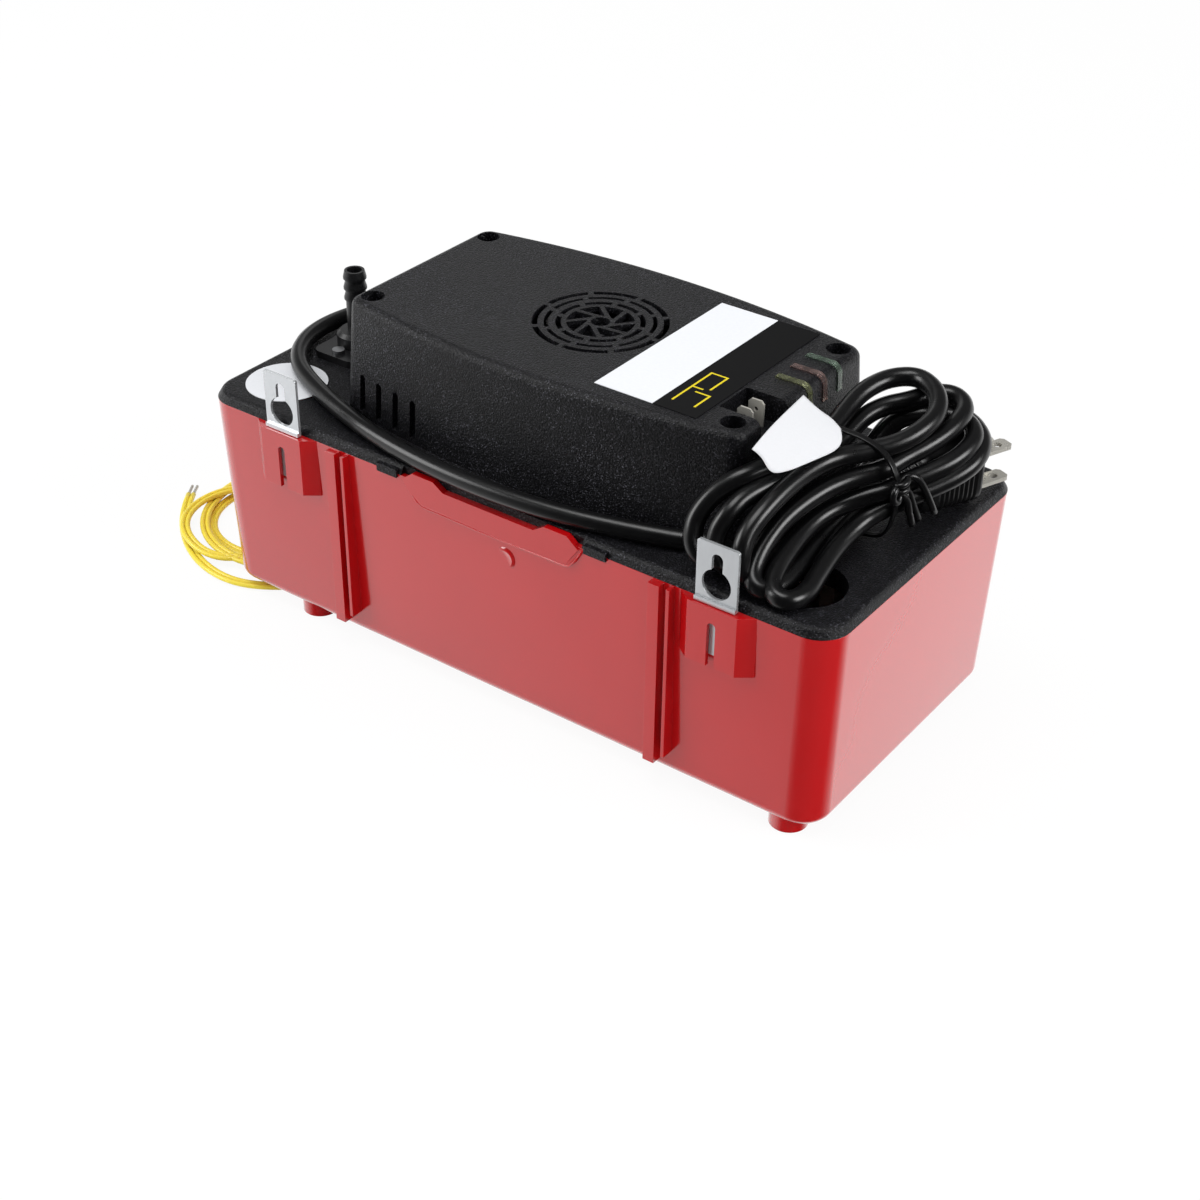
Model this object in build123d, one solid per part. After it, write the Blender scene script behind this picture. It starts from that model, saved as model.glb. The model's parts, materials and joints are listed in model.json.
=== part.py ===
"""Condensate pump: tank, deck, ventilated motor cover, pump, float switch gear and leads.

Units are millimetres. +X runs along the tank towards the end that holds the open inlet,
-Y is the side with the hanger brackets, +Z is up and the feet stand on z = 0.
Everything is drawn about the middle of the tank and shifted at the end, so that the
origin is the bottom centre of the whole object without its cords.
"""

from build123d import *
from math import cos, pi, radians, sin, tan
import os

os.makedirs("parts", exist_ok=True)

# ---------------------------------------------------------------- driving dimensions

# Tank
rim_length = 286.0
rim_width = 134.0
tank_height = 82.5
tank_wall = 2.5
tank_floor = 2.5
tank_draft = 2.4
tank_corner = 12.0
tank_bottom_round = 4.5
foot_height = 5.0
foot_radius = 7.25
foot_from_left = 44.0
foot_from_right = 17.0
foot_from_side = 11.0
foot_left_x = foot_from_left - rim_length / 2
foot_right_x = rim_length / 2 - foot_from_right
foot_y = rim_width / 2 - foot_from_side

# Hanger pockets, stiffening fins and lid catches on the tank walls
pocket_from_end = 44.0
pocket_x = rim_length / 2 - pocket_from_end
pocket_depth = 4.0
pocket_front = 20.0
pocket_base = 31.0
pocket_height = 24.0
pocket_slot_width = 3.3
pocket_slot_drop = 6.0
pocket_cavity_width = 11.2
pocket_cavity_depth = 1.8
pocket_front_wall = 1.7
fin_from_pocket = 24.6
fin_x = pocket_x - fin_from_pocket
fin_width = 4.8
fin_depth = 3.2
fin_bottom = 76.5
thin_fin_width = 1.4
thin_fin_offset = 6.0
thin_fin_bottom = 72.0
catch_proud = 0.8
catch_thickness = 1.8
catch_half_bottom = 34.5
catch_half_tip = 40.6
catch_half_top = 35.5
catch_half_inner = 25.5
catch_half_low = 20.7
catch_drop = 9.7
catch_ear_rise = 3.1

# Deck (the lid that carries everything)
deck_rise = 3.5
deck_wall = 2.5
deck_edge_lean = 1.6
deck_edge_round = 2.8
skirt_gap = 0.4
skirt_wall = 1.8
skirt_depth = 6.0
tab_inner_x = 43.0
tab_width = 9.6
tab_proud = 1.0
tab_drop = 1.2
tab_rise = 2.2
inlet_from_end = 24.5
inlet_from_side = 23.5
inlet_x = rim_length / 2 - inlet_from_end
inlet_y = rim_width / 2 - inlet_from_side
inlet_radius = 14.5
inlet_collar_wall = 2.0
inlet_collar_depth = 8.0
sticker_radius = 16.2
sticker_thickness = 0.25

# Motor cover
cover_height = 45.5
cover_wall = 2.5
cover_draft = 3.0
cover_half_length = 87.8
cover_half_middle = 50.8
cover_half_end = 41.0
cover_corner = 6.0
cover_edge_round = 3.6
screw_from_end = 7.0
screw_from_side = 6.5
screw_x = cover_half_length - screw_from_end
screw_y = cover_half_end - screw_from_side
screw_well_radius = 4.5
screw_boss_radius = 6.4
screw_boss_floor = 10.0
cover_screw_radius = 2.0
cover_screw_head_radius = 3.9
cover_screw_head_height = 2.6
cover_screw_bite = 11.0
deck_boss_radius = 4.6
deck_boss_depth = 13.0
fit_gap = 0.06

# Grille in the top of the cover
grille_rings = ((23.3, 25.5, 0.0), (19.4, 21.0, 7.0), (14.7, 16.7, 17.0))
grille_web = 2.2
grille_spokes = 8
grille_inner_low = 5.2
grille_inner_high = 12.7
grille_spoke_lean = 24.0
grille_hub_hole = 3.6

# Louvre slots low in the long walls of the cover
louvre_from_end = 9.4
louvre_first_x = louvre_from_end - cover_half_length
louvre_pitch = 9.55
louvre_count = 4
louvre_width = 3.0
louvre_low = 2.0
louvre_high = 17.3

# Terminal pocket, light pipes and the label
terminal_pocket_from_end = 17.0
terminal_pocket_x = cover_half_length - terminal_pocket_from_end
terminal_pocket_front = -28.0
terminal_pocket_back = -10.5
terminal_pocket_depth = 10.0
terminal_pocket_wall = 2.0
spade_from_end = 9.9
spade_x = cover_half_length - spade_from_end
spade_ys = (-22.3, -15.1)
spade_width = 6.3
spade_thickness = 0.8
spade_hole_radius = 0.9
spade_below_top = 0.5
pipe_ys = (3.4, 13.3, 23.5)
pipe_length = 13.3
pipe_start_x = cover_half_length - pipe_length
pipe_width = 3.0
pipe_proud = 0.4
pipe_drop = 9.5
pipe_gap = 0.1
pipe_stem_from_end = 8.3
pipe_stem_x = cover_half_length - pipe_stem_from_end
label_length = 42.8
label_edge_gap = 1.2
label_end_x = terminal_pocket_x - label_edge_gap
label_start_x = label_end_x - label_length
label_half_width = 40.3
label_thickness = 0.2

# Circuit board
board_length = 30.0
board_end_gap = 3.8
board_high_x = cover_half_length - board_end_gap
board_x = (board_high_x - board_length, board_high_x)
board_half_width = 27.0
board_thickness = 1.6
board_drop = 15.9
board_post_from_edge = 4.0
board_post_x = board_x[0] + board_post_from_edge
board_post_y = 22.0
board_post_radius = 3.0
led_radius = 1.5
led_height = 5.0

# Motor
standoff_height = 3.0
standoff_radius = 5.0
bracket_thickness = 2.0
bracket_width = 16.0
bracket_foot_radius = 4.0
bracket_foot_height = 5.0
stack_height = 12.0
stack_left = -19.0
stack_half_width = 23.0
window_left = 17.5
limb_left = 32.0
limb_width = 12.0
window_half_width = 15.0
motor_screw_y = 18.0
motor_screw_radius = 1.75
motor_screw_clearance = 0.1
motor_screw_head_radius = 3.2
motor_screw_head_height = 2.0
rotor_radius = 12.5
air_gap = 0.5
shaft_radius = 2.5
bearing_gap = 0.05
bush_radius = 4.0
bush_length = 7.0
bearing_boss_radius = 6.5
bobbin_wall = 1.2
winding_depth = 6.0
winding_half_length = 12.0
shading_ring_size = 1.6
shading_ring_length = 4.0
shading_ring_x = 15.6
fan_radius = 23.0
fan_height = 8.0
fan_disc = 1.2
fan_blades = 9
fan_hub_radius = 6.0
fan_rise = 4.0

# Pump below the deck
column_radius = 13.0
column_wall = 2.2
column_flange_radius = 21.0
column_flange = 3.0
column_screw_circle = 17.0
column_screw_radius = 1.75
volute_radius = 29.0
volute_height = 14.0
volute_roof = 3.0
volute_cavity = 24.0
volute_offset = 1.6
base_plate = 3.0
base_eye_radius = 7.0
base_leg_radius = 3.0
base_leg_circle = 24.0
seat_gap = 0.3
impeller_radius = 20.0
impeller_disc = 2.0
impeller_blade = 5.0
impeller_blades = 6
impeller_hub_radius = 5.0
slinger_radius = 8.0
slinger_thickness = 2.0
slinger_z = 60.0
nozzle_y = -15.0
nozzle_end_x = -48.0
nozzle_radius = 5.0
nozzle_bore = 3.6
nozzle_rise = 7.0
hose_radius = 7.0
hose_gap = 0.1
hose_overlap = 10.0

# Discharge check valve
valve_from_end = 24.8
valve_x = valve_from_end - rim_length / 2
valve_y = -4.3
valve_flange_thickness = 3.0
valve_flange_half_x = 11.0
valve_flange_half_y = 16.0
valve_screw_y = 12.0
valve_screw_radius = 1.5
valve_body_radius = 9.0
valve_hole_gap = 0.2
valve_body_depth = 15.0
valve_chamber_radius = 6.0
valve_chamber_depth = 9.0
valve_nipple_length = 12.0
ball_radius = 4.8
ball_seat_gap = 0.15
ball_lift = 3.5
barb_top = 34.8
barb_root_radius = 4.05
barb_ridge_radius = 4.7
barb_bore = 3.0
barb_ridge_pitch = 4.4
barb_collar_radius = 8.6
barb_collar_height = 6.0
barb_spigot = 3.3
o_ring_radius = 7.3
o_ring_section = 0.9

# Float gear
pivot_x = 50.0
pivot_drop = 9.5
pivot_pin_radius = 2.0
pivot_hub_radius = 4.2
pivot_ear_half_gap = 8.0
pivot_ear_wall = 3.0
pivot_side_gap = 0.3
finger_reach = 12.0
finger_width = 4.0
finger_half_span = 5.5
finger_below_plunger = 0.3
float_slot_x = (55.5, 66.0)
float_slot_half = 6.6
float_arm_width = 6.0
float_arm_depth = 5.0
float_arm_drop = 18.0
float_centre_x = 105.0
float_bottom = 14.0
float_length = 34.0
float_width = 50.0
float_height = 26.0
float_post = 8.0
switch_wall = 1.6
switch_x = (56.0, 76.0)
switch_lift = 6.0
switch_height = 10.0
switch_width = 6.4
switch_pin_radius = 1.2
plunger_radius = 1.25
plunger_gap = 0.07
plunger_stand_out = 3.0
plunger_depth = 3.0
plunger_travel = 3.6

# Hanger brackets
hanger_width = 16.5
hanger_thickness = 1.2
hanger_height = 24.0
hanger_leg_width = 10.4
hanger_leg_drop = 20.0
hanger_lip = 0.9
hanger_lip_height = 1.6
hanger_hole_radius = 5.8
hanger_hole_below_top = 15.5
hanger_slot_width = 4.4
hanger_slot_below_top = 3.6
hanger_corner = 1.0

# Power cord and the plug on it
cord_radius = 3.5
relief_length = 19.0
relief_root_radius = 5.4
relief_x = -88.0
relief_y = 27.0
hank_left = 91.6
hank_bottom = 1.2
plug_x = 131.1
plug_y = 44.6
plug_turn = 22.0
plug_half_width = 11.0
plug_half_height = 12.2
plug_body_length = 22.0
plug_tail_length = 18.0
plug_tail_radius = 4.2
plug_round = 4.0
blade_spacing = 12.7
blade_width = 6.35
blade_thickness = 1.5
blade_length = 15.9
blade_recess = 3.0
blade_hole_radius = 1.6
blade_hole_from_tip = 5.0
blade_offset = 6.4
ground_offset = 11.9
ground_radius = 2.4
ground_length = 19.0
tie_y = -5.0
tie_width = 2.4
tie_thickness = 0.7
tag_thickness = 0.5

# Twin signal lead
lead_radius = 2.2
lead_grommet_radius = 4.0
lead_x = -40.0
lead_exit_reach = 4.0
coil_x = -150.0
coil_y = -12.5
coil_outer = 48.5
coil_inner = 30.0
coil_height = 4.7
tip_length = 7.0
tip_radius = 0.7

# ---------------------------------------------------------------- levels worked out from them

rim_z = foot_height + tank_height
deck_z = rim_z + deck_rise
under_deck_z = deck_z - deck_wall
cover_top_z = deck_z + cover_height
tank_floor_z = foot_height + tank_floor
half_width = rim_width / 2
half_length = rim_length / 2
frame_shift = (pocket_depth - tab_proud) / 2


# ---------------------------------------------------------------- small helpers


def cylinder(radius, low, high, x=0.0, y=0.0):
    """Upright cylinder between two levels."""
    return Pos(x, y, (low + high) / 2) * Cylinder(radius, high - low)


def block(x_span, y_span, z_span):
    """Box between two values on each axis."""
    centre = [(span[0] + span[1]) / 2 for span in (x_span, y_span, z_span)]
    size = [abs(span[1] - span[0]) for span in (x_span, y_span, z_span)]
    return Pos(*centre) * Box(*size)


def upright(sketch, low, high):
    """Sketch in XY raised from one level to another."""
    return extrude(Pos(0, 0, low) * sketch, high - low, dir=(0, 0, 1))


def rounded_frustum(low_size, low_z, high_size, high_z, corner):
    """Rounded rectangle at two levels joined by straight drafted walls."""
    low = Pos(0, 0, low_z) * RectangleRounded(low_size[0], low_size[1], corner)
    high = Pos(0, 0, high_z) * RectangleRounded(high_size[0], high_size[1], corner)
    return loft([low, high], ruled=True)


def profile_xz(points, y_low, y_high):
    """Polygon in the XZ plane made into a slab between two depths."""
    face = make_face(Polyline(*[(x, 0, z) for x, z in points], close=True))
    return Pos(0, y_low, 0) * extrude(face, y_high - y_low, dir=(0, 1, 0))


def revolved(points, x=0.0, y=0.0):
    """Radius and height pairs turned about an upright axis."""
    face = make_face(Polyline(*[(r, 0, z) for r, z in points], close=True))
    return Pos(x, y, 0) * revolve(face, Axis.Z)


def along_y(radius, y_low, y_high, x, z):
    """Cylinder whose axis runs along Y."""
    return Pos(x, (y_low + y_high) / 2, z) * Rot(90, 0, 0) * Cylinder(radius, y_high - y_low)


def bend_radii(points):
    """Largest tangent arc for each corner of a route: 0.45 of the shorter run."""
    radii = []
    for before, here, after in zip(points, points[1:], points[2:]):
        first = Vector(*here) - Vector(*before)
        second = Vector(*after) - Vector(*here)
        turn = radians(first.get_angle(second))
        radii.append(0.45 * min(first.length, second.length) / tan(turn / 2))
    return radii


def tube(name, points, radius, bore=0.0):
    """Round tube along straight runs joined by tangent arcs. A room has no name to print."""
    radii = bend_radii(points)
    path = FilletPolyline(*points, radius=radii)
    start = Plane(origin=path @ 0, z_dir=path % 0)
    section = start * Circle(radius)
    if bore:
        section -= start * Circle(bore)
    solid = sweep(section, path=path)
    if not name:
        return solid
    length = sum(edge.length for edge in path.edges())
    area = pi * (radius**2 - bore**2)
    print(name, "length", round(length, 1), "smallest bend", round(min(radii), 1),
          "volume ratio", round(solid.volume / (area * length), 4),
          "radii", [round(r) for r in radii])
    return solid


# ---------------------------------------------------------------- tank


def tank_inset(z):
    """How far the drafted wall stands inside the rim at a level."""
    return tank_draft * (rim_z - z) / tank_height


def tank_form(inset, low, high):
    """Drafted tank body, its walls moved in by an inset."""
    sizes = []
    for z in (low, high):
        step = 2 * (inset + tank_inset(z))
        sizes.append((rim_length - step, rim_width - step))
    return rounded_frustum(sizes[0], low, sizes[1], high, tank_corner - inset)


def catch_outline(grow=0.0):
    """Half hexagon of a lid catch with two ears, on the wall below and above the rim."""
    right = [
        (catch_half_bottom, rim_z - catch_drop),
        (catch_half_tip, rim_z - 0.8),
        (catch_half_top, rim_z + catch_ear_rise + grow),
        (catch_half_inner, rim_z + catch_ear_rise + grow),
        (catch_half_low, rim_z),
    ]
    return right + [(-x, z) for x, z in reversed(right)]


def make_tank():
    """Red moulded tank with feet, hanger pockets, fins and catches."""
    outer = tank_form(0.0, foot_height, rim_z)
    outer = fillet(outer.edges().group_by(Axis.Z)[0], tank_bottom_round)
    wall_mid = half_width - tank_wall / 2
    for side in (-1, 1):
        base_y = -(half_width - 1.4)
        front_y = -(half_width + pocket_depth)
        pocket = Polygon(
            (-pocket_base / 2, base_y), (pocket_base / 2, base_y),
            (pocket_base / 2, -half_width + 0.2), (pocket_front / 2, front_y),
            (-pocket_front / 2, front_y), (-pocket_base / 2, -half_width + 0.2),
            align=None,
        )
        outer += Pos(side * pocket_x, 0, 0) * upright(pocket, rim_z - pocket_height, rim_z)
        for offset, width, bottom in (
            (0.0, fin_width, fin_bottom),
            (thin_fin_offset, thin_fin_width, thin_fin_bottom),
        ):
            x = side * fin_x + offset
            outer += block(
                (x - width / 2, x + width / 2),
                (-half_width - fin_depth, -wall_mid + tank_draft - 1.0),
                (rim_z - bottom, rim_z - 0.4),
            )
        face_y = side * (half_width + catch_proud)
        back_y = face_y - side * (catch_proud + catch_thickness)
        outer += profile_xz(catch_outline(), min(face_y, back_y), max(face_y, back_y))
    for x in (foot_left_x, foot_right_x):
        for y in (-foot_y, foot_y):
            outer += cylinder(foot_radius, 0.0, foot_height + tank_floor / 2, x, y)
    hollow = tank_form(tank_wall, tank_floor_z, rim_z)
    tank = outer - hollow
    cavity_front = -(half_width + pocket_depth) + pocket_front_wall
    for side in (-1, 1):
        x = side * pocket_x
        tank -= block(
            (x - pocket_cavity_width / 2, x + pocket_cavity_width / 2),
            (cavity_front, cavity_front + pocket_cavity_depth),
            (rim_z - pocket_height - 1.0, rim_z + 1.0),
        )
        slot_top = rim_z - pocket_slot_drop - pocket_slot_width / 2
        tank -= block(
            (x - pocket_slot_width / 2, x + pocket_slot_width / 2),
            (-(half_width + pocket_depth) - 1.0, cavity_front + 0.5),
            (rim_z - pocket_height - 1.0, slot_top),
        )
        tank -= along_y(pocket_slot_width / 2, -(half_width + pocket_depth) - 1.0,
                        cavity_front + 0.5, x, slot_top)
    return tank


# ---------------------------------------------------------------- deck


def make_deck():
    """Black lid with its skirt, inlets, bosses, posts and pivot ears."""
    lean = 2 * deck_edge_lean
    top = rounded_frustum((rim_length, rim_width), rim_z,
                          (rim_length - lean, rim_width - lean), deck_z, tank_corner)
    top = fillet(top.edges().group_by(Axis.Z)[-1], deck_edge_round)
    skirt_step = 2 * (tank_wall + skirt_gap)
    skirt_low = rim_z - skirt_depth
    deck = top + upright(
        RectangleRounded(rim_length - skirt_step, rim_width - skirt_step,
                         tank_corner - tank_wall - skirt_gap), skirt_low, rim_z)
    under_step = skirt_step + 2 * skirt_wall
    deck -= upright(
        RectangleRounded(rim_length - under_step, rim_width - under_step,
                         tank_corner - tank_wall - skirt_gap - skirt_wall),
        skirt_low, under_deck_z)

    # Notches for the catches' ears, and the tabs that hang over the rim beside them.
    notch_x = catch_half_tip + 1.0
    notch_y = half_width + catch_proud - catch_proud - catch_thickness - seat_gap
    tab_outer_x = tab_inner_x + tab_width
    for side in (-1, 1):
        y_pair = sorted((side * notch_y, side * (half_width + 1.0)))
        deck -= block((-notch_x, notch_x), y_pair, (rim_z, deck_z + 1.0))
        for end in (-1, 1):
            x_pair = sorted((end * tab_inner_x, end * tab_outer_x))
            y_pair = sorted((side * half_width, side * (half_width + tab_proud)))
            deck += block(x_pair, y_pair, (rim_z - tab_drop, rim_z + tab_rise))
            y_pair = sorted((side * (half_width - 2.4), side * half_width))
            deck += block(x_pair, y_pair, (rim_z, rim_z + tab_rise))

    # Inlets with collars that hang into the tank.
    for x in (-inlet_x, inlet_x):
        deck += cylinder(inlet_radius + inlet_collar_wall, deck_z - inlet_collar_depth,
                         under_deck_z, x, -inlet_y)
        deck -= cylinder(inlet_radius, deck_z - inlet_collar_depth - 1.0, deck_z + 1.0,
                         x, -inlet_y)

    # Bosses for the cover screws.
    for x in (-screw_x, screw_x):
        for y in (-screw_y, screw_y):
            deck += cylinder(deck_boss_radius, under_deck_z - deck_boss_depth, under_deck_z, x, y)
            deck -= cylinder(cover_screw_radius + fit_gap, under_deck_z - deck_boss_depth - 1,
                             deck_z + 1, x, y)

    # Motor standoffs, board posts and the wall between the two switches.
    for y in (-motor_screw_y, motor_screw_y):
        deck += cylinder(standoff_radius, deck_z, deck_z + standoff_height, 0, y)
        deck -= cylinder(motor_screw_radius + fit_gap, under_deck_z - 4.0,
                         deck_z + standoff_height + 1, 0, y)
    for y in (-board_post_y, board_post_y):
        deck += cylinder(board_post_radius, deck_z, board_z, board_post_x, y)
    switch_low = deck_z + switch_lift
    deck += block(switch_x, (-switch_wall / 2, switch_wall / 2),
                  (deck_z, switch_low + switch_height))
    for x in switch_pin_xs:
        deck -= along_y(switch_pin_radius + fit_gap, -5, 5, x, switch_pin_z)

    # Shaft passage, screw holes of the pump column, float slot and valve hole.
    deck -= cylinder(shaft_radius + 2.5, under_deck_z - 1, deck_z + 1)
    for x, y in column_screw_spots:
        deck -= cylinder(column_screw_radius + fit_gap, under_deck_z - 1, deck_z + 1, x, y)
    deck -= block(float_slot_x, (-float_slot_half, float_slot_half),
                  (under_deck_z - 1, switch_low))
    for side in (-1, 1):
        y = valve_y + side * valve_screw_y
        deck += cylinder(3.4, under_deck_z - 7.0, under_deck_z, valve_x, y)
        deck -= cylinder(valve_screw_radius + fit_gap, under_deck_z - 8.0, deck_z + 1, valve_x, y)
    deck -= cylinder(valve_body_radius + valve_hole_gap, under_deck_z - 8, deck_z + 1,
                     valve_x, valve_y)

    # Ears that carry the float pivot pin.
    for side in (-1, 1):
        y_pair = sorted((side * pivot_ear_half_gap, side * (pivot_ear_half_gap + pivot_ear_wall)))
        deck += block((pivot_x - 5.0, pivot_x + 5.0), y_pair, (pivot_z, under_deck_z))
        deck += along_y(5.0, y_pair[0], y_pair[1], pivot_x, pivot_z)
        deck -= along_y(pivot_pin_radius + fit_gap, y_pair[0] - 1, y_pair[1] + 1, pivot_x, pivot_z)
    return deck


pivot_z = under_deck_z - pivot_drop
board_z = cover_top_z - board_drop - board_thickness
switch_pin_xs = (switch_x[0] + 2.5, switch_x[1] - 2.5)
switch_pin_z = deck_z + switch_lift + 2.5
column_screw_spots = [
    (column_screw_circle * cos(radians(angle)), column_screw_circle * sin(radians(angle)))
    for angle in (180, 300, 60)
]


# ---------------------------------------------------------------- motor cover


def cover_outline(grow):
    """Barrel outline of the cover's top, grown outwards by a distance."""
    x = cover_half_length + grow
    middle = cover_half_middle + grow
    end = cover_half_end + grow
    edges = [
        ThreePointArc((-x, -end), (0, -middle), (x, -end)),
        Line((x, -end), (x, end)),
        ThreePointArc((x, end), (0, middle), (-x, end)),
        Line((-x, end), (-x, -end)),
    ]
    face = make_face(edges)
    return fillet(face.vertices(), cover_corner + grow)


def cover_form(grow, top_z, edge_round):
    """Drafted barrel body from the deck to a level, its walls moved by a distance."""
    low = Pos(0, 0, deck_z) * cover_outline(grow + cover_draft)
    high = Pos(0, 0, top_z) * cover_outline(grow)
    form = loft([low, high], ruled=True)
    if edge_round:
        form = fillet(form.edges().group_by(Axis.Z)[-1], edge_round)
    return form


def grille_cut():
    """Ring slots broken by webs, swirling spoke openings and a hub hole."""
    cut = Circle(grille_hub_hole)
    for low, high, lead in grille_rings:
        ring = Circle(high) - Circle(low)
        for index in range(grille_spokes):
            angle = lead + 360 / grille_spokes * index
            ring -= Rot(0, 0, angle) * Pos((low + high) / 2, 0) * Rectangle(high - low + 2, grille_web)
        cut += ring
    middle = (grille_inner_low + grille_inner_high) / 2
    ring = Circle(grille_inner_high) - Circle(grille_inner_low)
    for index in range(grille_spokes):
        spoke = Rot(0, 0, grille_spoke_lean) * Rectangle(
            grille_inner_high - grille_inner_low + 5, grille_web * 0.8)
        ring -= Rot(0, 0, 27 + 360 / grille_spokes * index) * Pos(middle, 0) * spoke
    cut += ring
    return upright(cut, cover_top_z - cover_wall - 1, cover_top_z + 1)


def pipe_window(y, gap):
    """Space of one light pipe in the cover's top edge and end wall."""
    reach = cover_half_length + cover_draft + 5
    half = pipe_width / 2 + gap
    return block((pipe_start_x - gap, reach), (y - half, y + half),
                 (cover_top_z - pipe_drop - gap, cover_top_z + 3))


def make_cover():
    """Ventilated cover with screw wells, terminal pocket, louvres and grille."""
    outer = cover_form(0.0, cover_top_z, cover_edge_round)
    inner = cover_form(-cover_wall, cover_top_z - cover_wall, 0.0)
    cover = outer - inner
    for x in (-screw_x, screw_x):
        for y in (-screw_y, screw_y):
            cover += cylinder(screw_boss_radius, deck_z, cover_top_z - cover_wall, x, y) & outer
    pocket_floor = cover_top_z - terminal_pocket_depth
    walls = block(
        (terminal_pocket_x - terminal_pocket_wall, cover_half_length + cover_draft),
        (terminal_pocket_front - terminal_pocket_wall, terminal_pocket_back + terminal_pocket_wall),
        (pocket_floor - terminal_pocket_wall, cover_top_z - cover_wall))
    cover += walls & outer
    cover -= block((terminal_pocket_x, cover_half_length + cover_draft + 5),
                   (terminal_pocket_front, terminal_pocket_back),
                   (pocket_floor, cover_top_z + 1))
    for y in spade_ys:
        cover -= block((spade_x - spade_width / 2 - 0.3, spade_x + spade_width / 2 + 0.3),
                       (y - spade_thickness / 2 - 0.3, y + spade_thickness / 2 + 0.3),
                       (pocket_floor - terminal_pocket_wall - 1, pocket_floor + 1))
    for x in (-screw_x, screw_x):
        for y in (-screw_y, screw_y):
            cover -= cylinder(screw_well_radius, deck_z + screw_boss_floor, cover_top_z + 1, x, y)
            cover -= cylinder(cover_screw_radius + 0.2, deck_z - 1, cover_top_z, x, y)
    for side in (-1, 1):
        for index in range(louvre_count):
            x = louvre_first_x + louvre_pitch * index
            round_z = deck_z + louvre_high - louvre_width / 2
            y_pair = sorted((side * (cover_half_end - 4), side * (cover_half_middle + 8)))
            cover -= block((x - louvre_width / 2, x + louvre_width / 2), y_pair,
                           (deck_z + louvre_low, round_z))
            cover -= along_y(louvre_width / 2, y_pair[0], y_pair[1], x, round_z)
    for y in pipe_ys:
        cover -= pipe_window(y, pipe_gap)
    cover -= grille_cut()
    relief_hole = Pos(relief_x, relief_y, relief_z) * Rot(0, 90, 0)
    cover -= relief_hole * Cylinder(relief_root_radius + fit_gap, 14)
    cover -= along_y(lead_grommet_radius + fit_gap, cover_half_end, cover_half_middle + 9,
                     lead_x, lead_z)
    return cover


relief_z = deck_z + relief_root_radius + 1.2
lead_z = deck_z + lead_grommet_radius + 1.6


def make_light_pipes():
    """Clear bent light pipes that follow the cover's rounded end, each with a stem."""
    proud = cover_form(pipe_proud, cover_top_z + pipe_proud, cover_edge_round + pipe_proud)
    inside = cover_form(-cover_wall, cover_top_z - cover_wall, 0.0)
    pipes = []
    for y in pipe_ys:
        pipe = (proud & pipe_window(y, 0.0)) - inside
        half = pipe_width / 2
        stem_low = board_z + board_thickness + led_height + seat_gap
        pipe += block((pipe_stem_x - half, pipe_stem_x + half), (y - half, y + half),
                      (stem_low, cover_top_z - cover_wall / 2))
        pipes.append(pipe)
    return pipes


def make_cover_screws():
    """Four screws deep in the wells of the cover."""
    head_low = deck_z + screw_boss_floor
    screws = []
    for x in (-screw_x, screw_x):
        for y in (-screw_y, screw_y):
            screw = cylinder(cover_screw_head_radius, head_low,
                             head_low + cover_screw_head_height, x, y)
            screw += cylinder(cover_screw_radius, under_deck_z - cover_screw_bite, head_low, x, y)
            slot = Box(1.0, 5.0, 1.2) + Box(5.0, 1.0, 1.2)
            screw -= Pos(x, y, head_low + cover_screw_head_height) * slot
            screws.append(screw)
    return Compound(screws)


# ---------------------------------------------------------------- board, spades and lamps


def make_board():
    """Circuit board on its two posts, with its screws, lamps and spade terminals."""
    board = block(board_x, (-board_half_width, board_half_width),
                  (board_z, board_z + board_thickness))
    top = board_z + board_thickness
    lamps = []
    for y in pipe_ys:
        lamps.append(cylinder(led_radius, top, top + led_height, pipe_stem_x, y)
                     + cylinder(led_radius + 0.4, top, top + 1.0, pipe_stem_x, y))
    spades = []
    tip = cover_top_z - spade_below_top
    for y in spade_ys:
        spade = block((spade_x - spade_width / 2, spade_x + spade_width / 2),
                      (y - spade_thickness / 2, y + spade_thickness / 2), (top, tip))
        spade = chamfer(spade.edges().filter_by(Axis.Y).group_by(Axis.Z)[-1], 1.2)
        spade -= along_y(spade_hole_radius, y - 1, y + 1, spade_x, tip - 3.6)
        spades.append(spade)
    screws = []
    for y in (-board_post_y, board_post_y):
        board -= cylinder(1.4, board_z - 1, top + 1, board_post_x, y)
        screws.append(cylinder(2.6, top, top + 1.8, board_post_x, y)
                      + cylinder(1.35, board_z, top, board_post_x, y))
    return board, Compound(lamps), Compound(spades), Compound(screws)


# ---------------------------------------------------------------- motor


bracket_low_z = deck_z + standoff_height
stack_low_z = bracket_low_z + bracket_thickness + bracket_foot_height
stack_high_z = stack_low_z + stack_height
bracket_high_z = stack_high_z + bracket_foot_height


def make_bracket(strap_low, foot_low):
    """Bearing strap with two feet and a boss bored for its bush."""
    strap = block((-bracket_width / 2, bracket_width / 2), (-stack_half_width, stack_half_width),
                  (strap_low, strap_low + bracket_thickness))
    strap += cylinder(bearing_boss_radius, strap_low, strap_low + bracket_thickness + 1.0)
    for y in (-motor_screw_y, motor_screw_y):
        strap += cylinder(bracket_foot_radius, foot_low, foot_low + bracket_foot_height, 0, y)
        strap -= cylinder(motor_screw_radius + motor_screw_clearance, foot_low - 5, foot_low + 12, 0, y)
    strap -= cylinder(bush_radius, strap_low - 2, strap_low + bracket_thickness + 4)
    return strap


def make_bush(middle_z):
    """Sintered bush with a running bore."""
    low, high = middle_z - bush_length / 2, middle_z + bush_length / 2
    return cylinder(bush_radius, low, high) - cylinder(shaft_radius + bearing_gap, low - 1, high + 1)


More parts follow.
